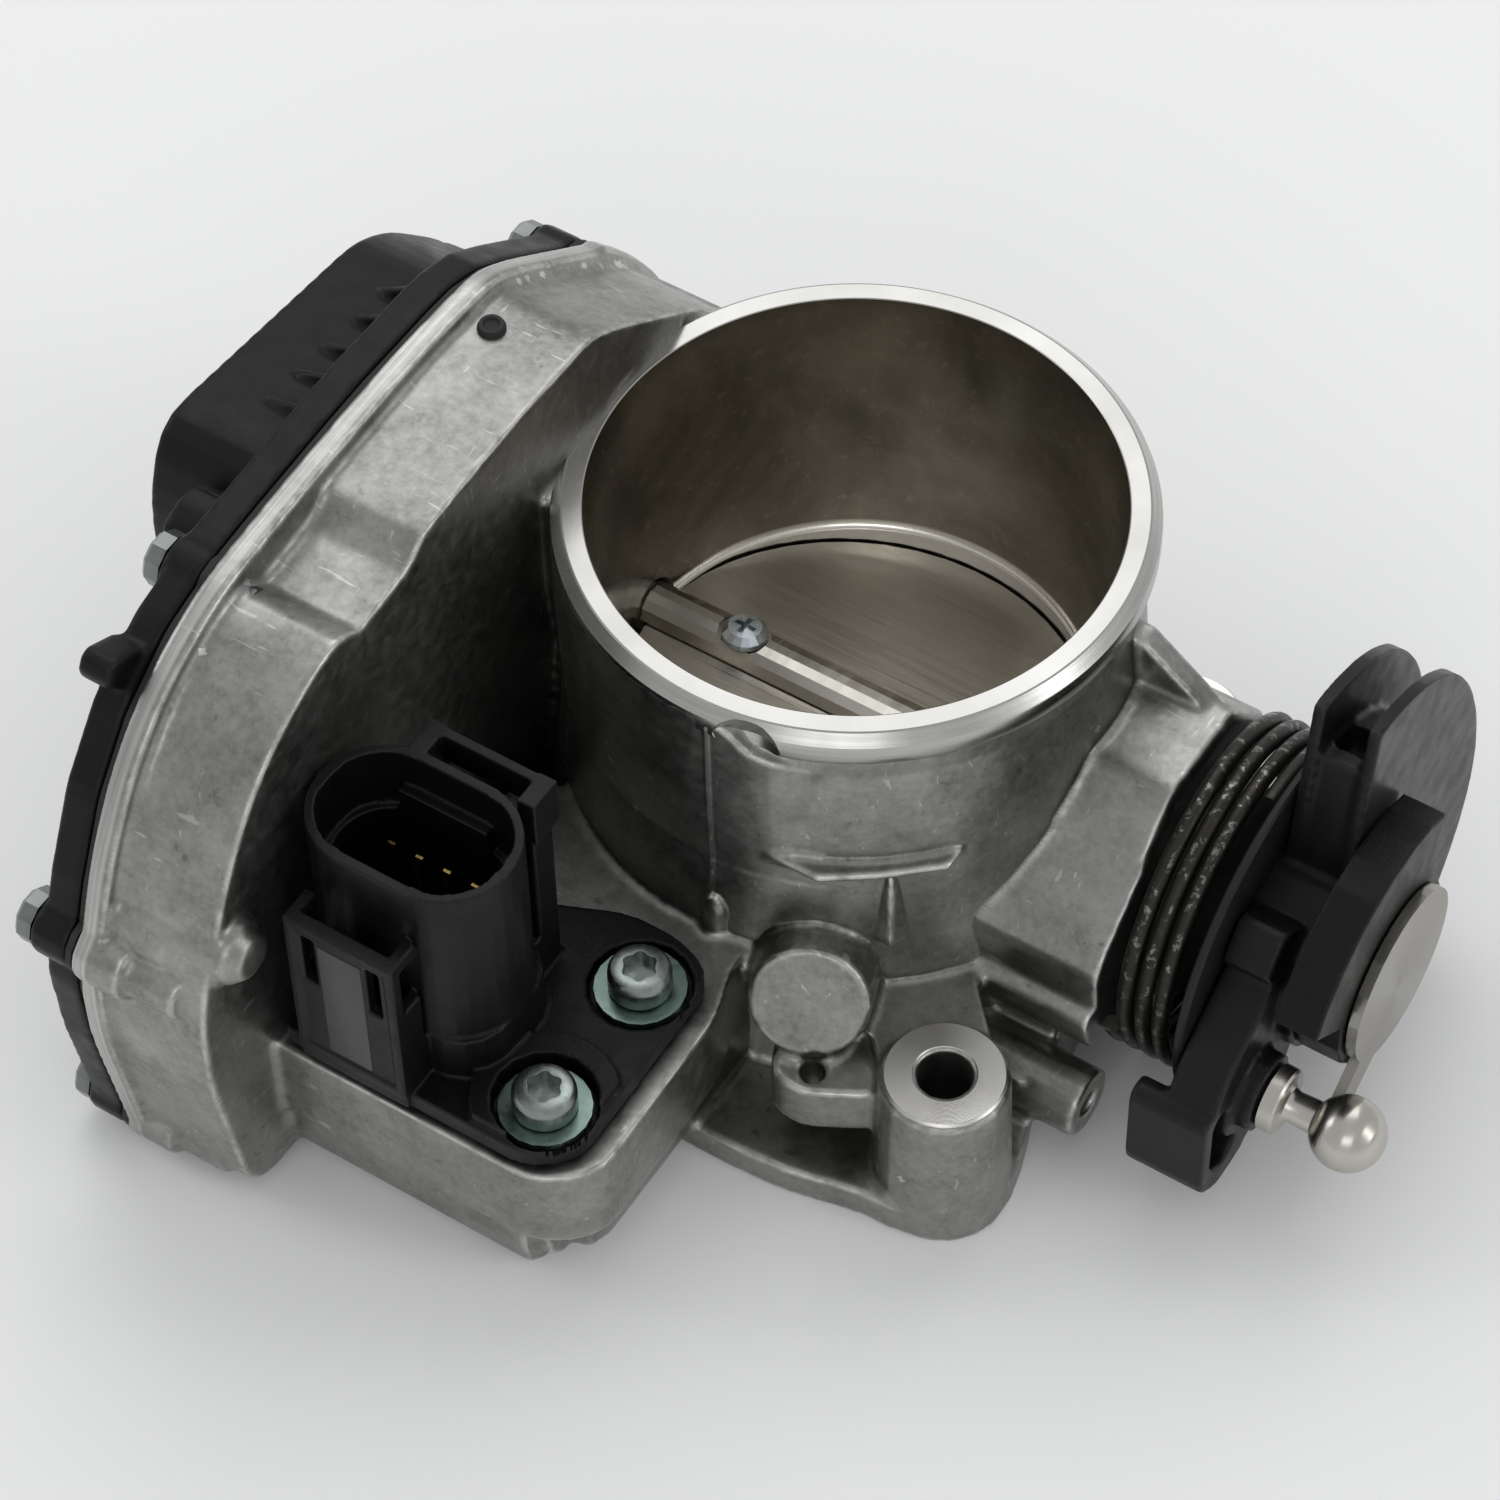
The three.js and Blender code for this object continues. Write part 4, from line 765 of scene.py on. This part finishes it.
    # rim, bead and bore in one turned skin
    rim = [
        (34.9, 62.4), (35.8, 62.6), (35.8, 64.2), (36.1, 64.6), (37.5, 65.2), (38.0, 65.6), (38.1, 66), (38.1, 68.2),
        (38.0, 68.5), (36.75, 69.9), (36.5, 70), (34.15, 70), (34.0, 69.9), (33.93, 69.6), (31.72, 29), (31.62, 28.4),
        (31.45, 28.22), (31.0, 28.2), (30.9, 28.08), (30.9, 15), (31.4, 12), (31.4, 0.15), (32.8, 0.15), (32.8, 27),
        (34.6, 40),
    ]
    skin = turned("rim_and_bore", rim, sides=256, loop=True, sharp=20)
    cut(skin, turned("shaft_room", [(0, -60), (4.7, -60), (4.7, 60), (0, 60)], (0, 0, SHAFT_Z), "x", 48), scoop())
    skin.data.set_sharp_from_angle(angle=math.radians(20))
    dress(skin, BORE_METAL, "housing", "cast_aluminium")

    # turned faces on the bolt seats
    for i, (x, y, top) in enumerate(BOLT_SEATS):
        ring = [(3.7, top - 4), (3.7, top - 0.3), (4.15, top + 0.05), (SEAT_R - 0.3, top + 0.05), (SEAT_R, top - 0.25),
                (SEAT_R, top - 1.2), (5, top - 3)]
        metal = faced(f"machined_seat_{i + 1}", (0.62, 0.61, 0.585), 0.26, (x, y, top), "z")
        dress(turned(f"bolt_seat_{i + 1}", ring, (x, y, 0), sides=96, loop=True), metal, "housing", "cast_aluminium")


casting()


# ---------------------------------------------------------------- plastics
def cover():
    body = copy_of("gear_cover", "gear_cover_skin")
    moulded(body, 0.32, soften=9, fill=0.6)
    dress(body, BLACK, "housing", "black_plastic", "gear_cover")


SOCKET_X, SOCKET_Y, SOCKET_TOP, SOCKET_FLOOR = (-33.8, -5.8), (-77.3, -58.3), 66, 41


def stadium(inset, square=False, steps=16):
    """Outline of the plug socket, with round ends; square gives the same points pushed out to its box."""
    r = (SOCKET_Y[1] - SOCKET_Y[0]) / 2
    y = sum(SOCKET_Y) / 2
    out = []
    for cx, start in ((SOCKET_X[1] - r, -90), (SOCKET_X[0] + r, 90)):
        for k in range(steps + 1):
            t = math.radians(start + 180 * k / steps)
            c, d = math.cos(t), math.sin(t)
            f = 1 / max(abs(c), abs(d)) if square else 1
            out.append((cx + (r - inset) * c * f, y + (r - inset) * d * f))
    return out


def connector():
    body = copy_of("connector_housing", "connector_skin")
    well = prism("well", stadium(1.5), SOCKET_FLOOR, SOCKET_TOP + 2)
    corners = band("corners", stadium(-0.4, True), stadium(0), 38, SOCKET_TOP + 2, "z")
    cut(body, well, corners)
    walls = band("socket_wall", stadium(0), stadium(1.25), SOCKET_FLOOR - 3, SOCKET_TOP, "z")
    step = band("socket_step", stadium(1), stadium(2.5), SOCKET_FLOOR - 1, 56.5, "z")
    key = block("key", -27, -14, -61.6, -58.8, SOCKET_FLOOR - 1, 60.5)
    bar_left = block("bar_left", -27.2, -24.6, -58.6, -53.6, 60.6, 66)
    bar_right = block("bar_right", -11.4, -8.8, -58.6, -53.6, 58.4, 66)
    ridges = [
        # edges of the guard plate stand a little proud of its smooth panel, a paler sheet that paints the guard face's
        # sheen
        block("guard_left", -29.4, -28.2, -82.9, -82, 31, 57.6),
        block("guard_right", -14.6, -13.4, -82.9, -82, 31, 57.6),
        block("guard_top", -29.4, -13.4, -82.9, -82, 56.2, 57.6),
        block("guard_foot", -29.4, -13.4, -82.9, -82, 31, 32.4),
    ]
    joined(body, walls, step, key, bar_left, bar_right, *ridges)
    moulded(body, 0.24, soften=2)
    dress(body, BLACK, "housing", "black_plastic", "connector_housing")
    # thin paler sheet on the guard face: its colour is a painted sheen
    panel = prism("guard_panel_painted_sheen", [(-24.6, 33), (-24.6, 54.6), (-18.2, 54.6), (-18.2, 33)], -82.75, -82.3, "y")
    bevel(panel, 0.2, 2)
    dress(panel, PAINTED_SHEEN_PLASTIC, "housing", "black_plastic")


# radius of the cable wheel's discs by the angle round the shaft, from +Y towards +Z
CAM = [(-42, 34.7), (12, 34.7), (28, 35.4), (42, 36.8), (54, 38.4), (68, 39.8), (87, 40.8)]


def wheel():
    body = copy_of("cable_wheel", "cable_wheel_skin")
    moulded(body, 0.3, soften=2, fill=0.4)
    co = points_of(body)
    y, z = co[:, 1], co[:, 2] - SHAFT_Z
    r, angle = np.hypot(y, z), np.degrees(np.arctan2(z, y))
    gap = np.interp(angle, *zip(*CAM)) - 0.04 - r
    share = np.clip((0.7 - abs(gap)) / 0.35, 0, 1) * np.clip((angle + 41) / 2, 0, 1) * np.clip((86 - angle) / 2, 0, 1)
    co[:, 1] = y * (1 + share * gap / r)
    co[:, 2] = SHAFT_Z + z * (1 + share * gap / r)
    put_points(body, co)
    dress(body, WHEEL, "throttle_rotor", "black_plastic", "cable_wheel")
    body = copy_of("stop_coupler", "coupler_skin")
    moulded(body, 0.24, soften=2)
    dress(body, BLACK, "throttle_rotor", "black_plastic", "stop_coupler")


cover()
connector()
wheel()


# ---------------------------------------------------------------- metal small parts
def spring():
    turns, pitch, radius, wire, start = 3.7, 2.5, 22.2, 1.15, 49.9
    curve = bpy.data.curves.new("spring_wire", "CURVE")
    curve.dimensions, curve.bevel_depth, curve.bevel_resolution, curve.use_fill_caps = "3D", wire / 1000, 5, True
    line = curve.splines.new("POLY")
    count = int(turns * 72) + 1
    line.points.add(count - 1)
    for k in range(count):
        t = turns * k / (count - 1)
        a = math.radians(200 + 360 * t)
        p = place((start + wire + pitch * t, radius * math.cos(a), SHAFT_Z + radius * math.sin(a)))
        line.points[k].co = (*p, 1)
    obj = bpy.data.objects.new("spring_wire", curve)
    bpy.context.scene.collection.objects.link(obj)
    bpy.context.view_layer.update()
    mesh = bpy.data.meshes.new_from_object(obj.evaluated_get(bpy.context.evaluated_depsgraph_get()))
    bpy.data.objects.remove(obj)
    coil = bpy.data.objects.new("return_spring_wire", mesh)
    bpy.context.scene.collection.objects.link(coil)
    coil.data.shade_smooth()
    dress(coil, SPRING, "housing", "spring_steel", "return_spring")


def turned_parts():
    x = 61.75  # back of the spring plate
    ring = [(14.3, x + 0.2), (14.6, x), (25, x), (25.4, x + 0.3), (25.4, x + 0.9), (25, x + 1.2), (14.6, x + 1.2),
            (14.3, x + 1)]
    plate = turned("spring_plate_ring", ring, (0, 0, SHAFT_Z), "x", 160, loop=True)
    dress(plate, BLACK, "throttle_rotor", "black_plastic", "spring_plate")

    ball, ball_x, seat = 4.95, 84, 73.05
    profile = [(0, 69.35), (1.7, 69.35), (2, 69.7), (2, seat), (4.2, seat), (4.5, seat + 0.3), (4.5, seat + 2.1),
               (4.2, seat + 2.4), (3.1, seat + 2.4), (2.4, seat + 2.8), (2.1, seat + 3.5)]
    for k in range(19):
        t = math.radians(-63 + k * 137 / 18)
        profile.append((ball * math.cos(t), ball_x + ball * math.sin(t)))
    profile += [(1.2, ball_x + ball * 0.972), (0, ball_x + ball)]
    stud = turned("ball_stud_turned", profile, (0, -19.4, 20.3), "x", 80)
    dress(stud, STEEL, "throttle_rotor", "bright_steel", "ball_stud")


def lobed(r):
    """Outline of a six-lobed socket."""
    sides, depth = 48, 0.16
    out = []
    for k in range(sides):
        t = 2 * math.pi * k / sides
        reach = r * (1 - depth * (1 - math.cos(6 * t)) / 2)
        out.append((reach * math.cos(t), reach * math.sin(t)))
    return out


def screws():
    """Turned heads with six-lobed sockets, at the places of the CAD's connector screws."""
    for i in (1, 2):
        low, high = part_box(f"connector_screw_{i}")
        length = (high.z - low.z) * 1000
        x, y = ((low.x + high.x) / 2 - BORE.x) * 1000, ((low.y + high.y) / 2 - BORE.y) * 1000
        top = high.z * 1000
        profile = [(0, 0), (2.9, 0), (3.6, -0.25), (4.05, -0.9), (4.1, -1.4), (4.1, -3.7), (3.9, -3.95), (2, -3.95),
                   (2, 0.3 - length), (1.6, -length), (0, -length)]
        obj = turned(f"connector_screw_turned_{i}", profile, (x, y, top), "z", 48)
        cut(obj, prism("socket", [(a + x, b + y) for a, b in lobed(2.35)], top - 2, top + 1))
        obj.data.shade_smooth()
        obj.data.set_sharp_from_angle(angle=math.radians(32))
        dress(obj, ZINC, "housing", "zinc_plated", f"connector_screw_{i}")


def plug():
    ring = [(0, 83), (1.75, 83), (1.85, 86), (1.6, 86.5), (1.1, 86.6), (0.9, 86.2), (0, 86.1)]
    small = turned("case_plug_head", ring, (-45.8, -11.5, 0), sides=28)
    dress(small, RUBBER, "housing", "black_rubber", "case_plug")


spring()
turned_parts()
screws()
plug()


# ---------------------------------------------------------------- finishes on the CAD nodes that stay
def finish_nodes():
    looks = {
        "throttle_shaft": STEEL, "bearing_wheel_side": STEEL, "bearing_gear_side": STEEL, "idler_pin": STEEL,
        "motor_shaft": STEEL, "end_cap": CAP, "throttle_plate": PLATE, "motor_pinion": PLATE, "shaft_nut": ZINC,
        "cover_gasket": RUBBER,
        "connector_seal": RUBBER, "shaft_seal": RUBBER, "sector_gear": NATURAL, "idler_gear": NATURAL,
        "sensor_rotor": NATURAL, "sensor_board": BOARD, "idle_motor": GALVANISED, "motor_bracket": GALVANISED,
    }
    for name, obj in nodes.items():
        material = looks.get(name)
        if name.startswith("connector_pin"):
            material = GOLD
        elif name.startswith("cover_screw"):
            material = COVER_SCREW
        elif name.startswith("connector_washer"):
            material = WASHER
        elif "_screw_" in name:
            material = PLATE_SCREW
        if material:
            obj.data.materials.clear()
            obj.data.materials.append(material)


finish_nodes()
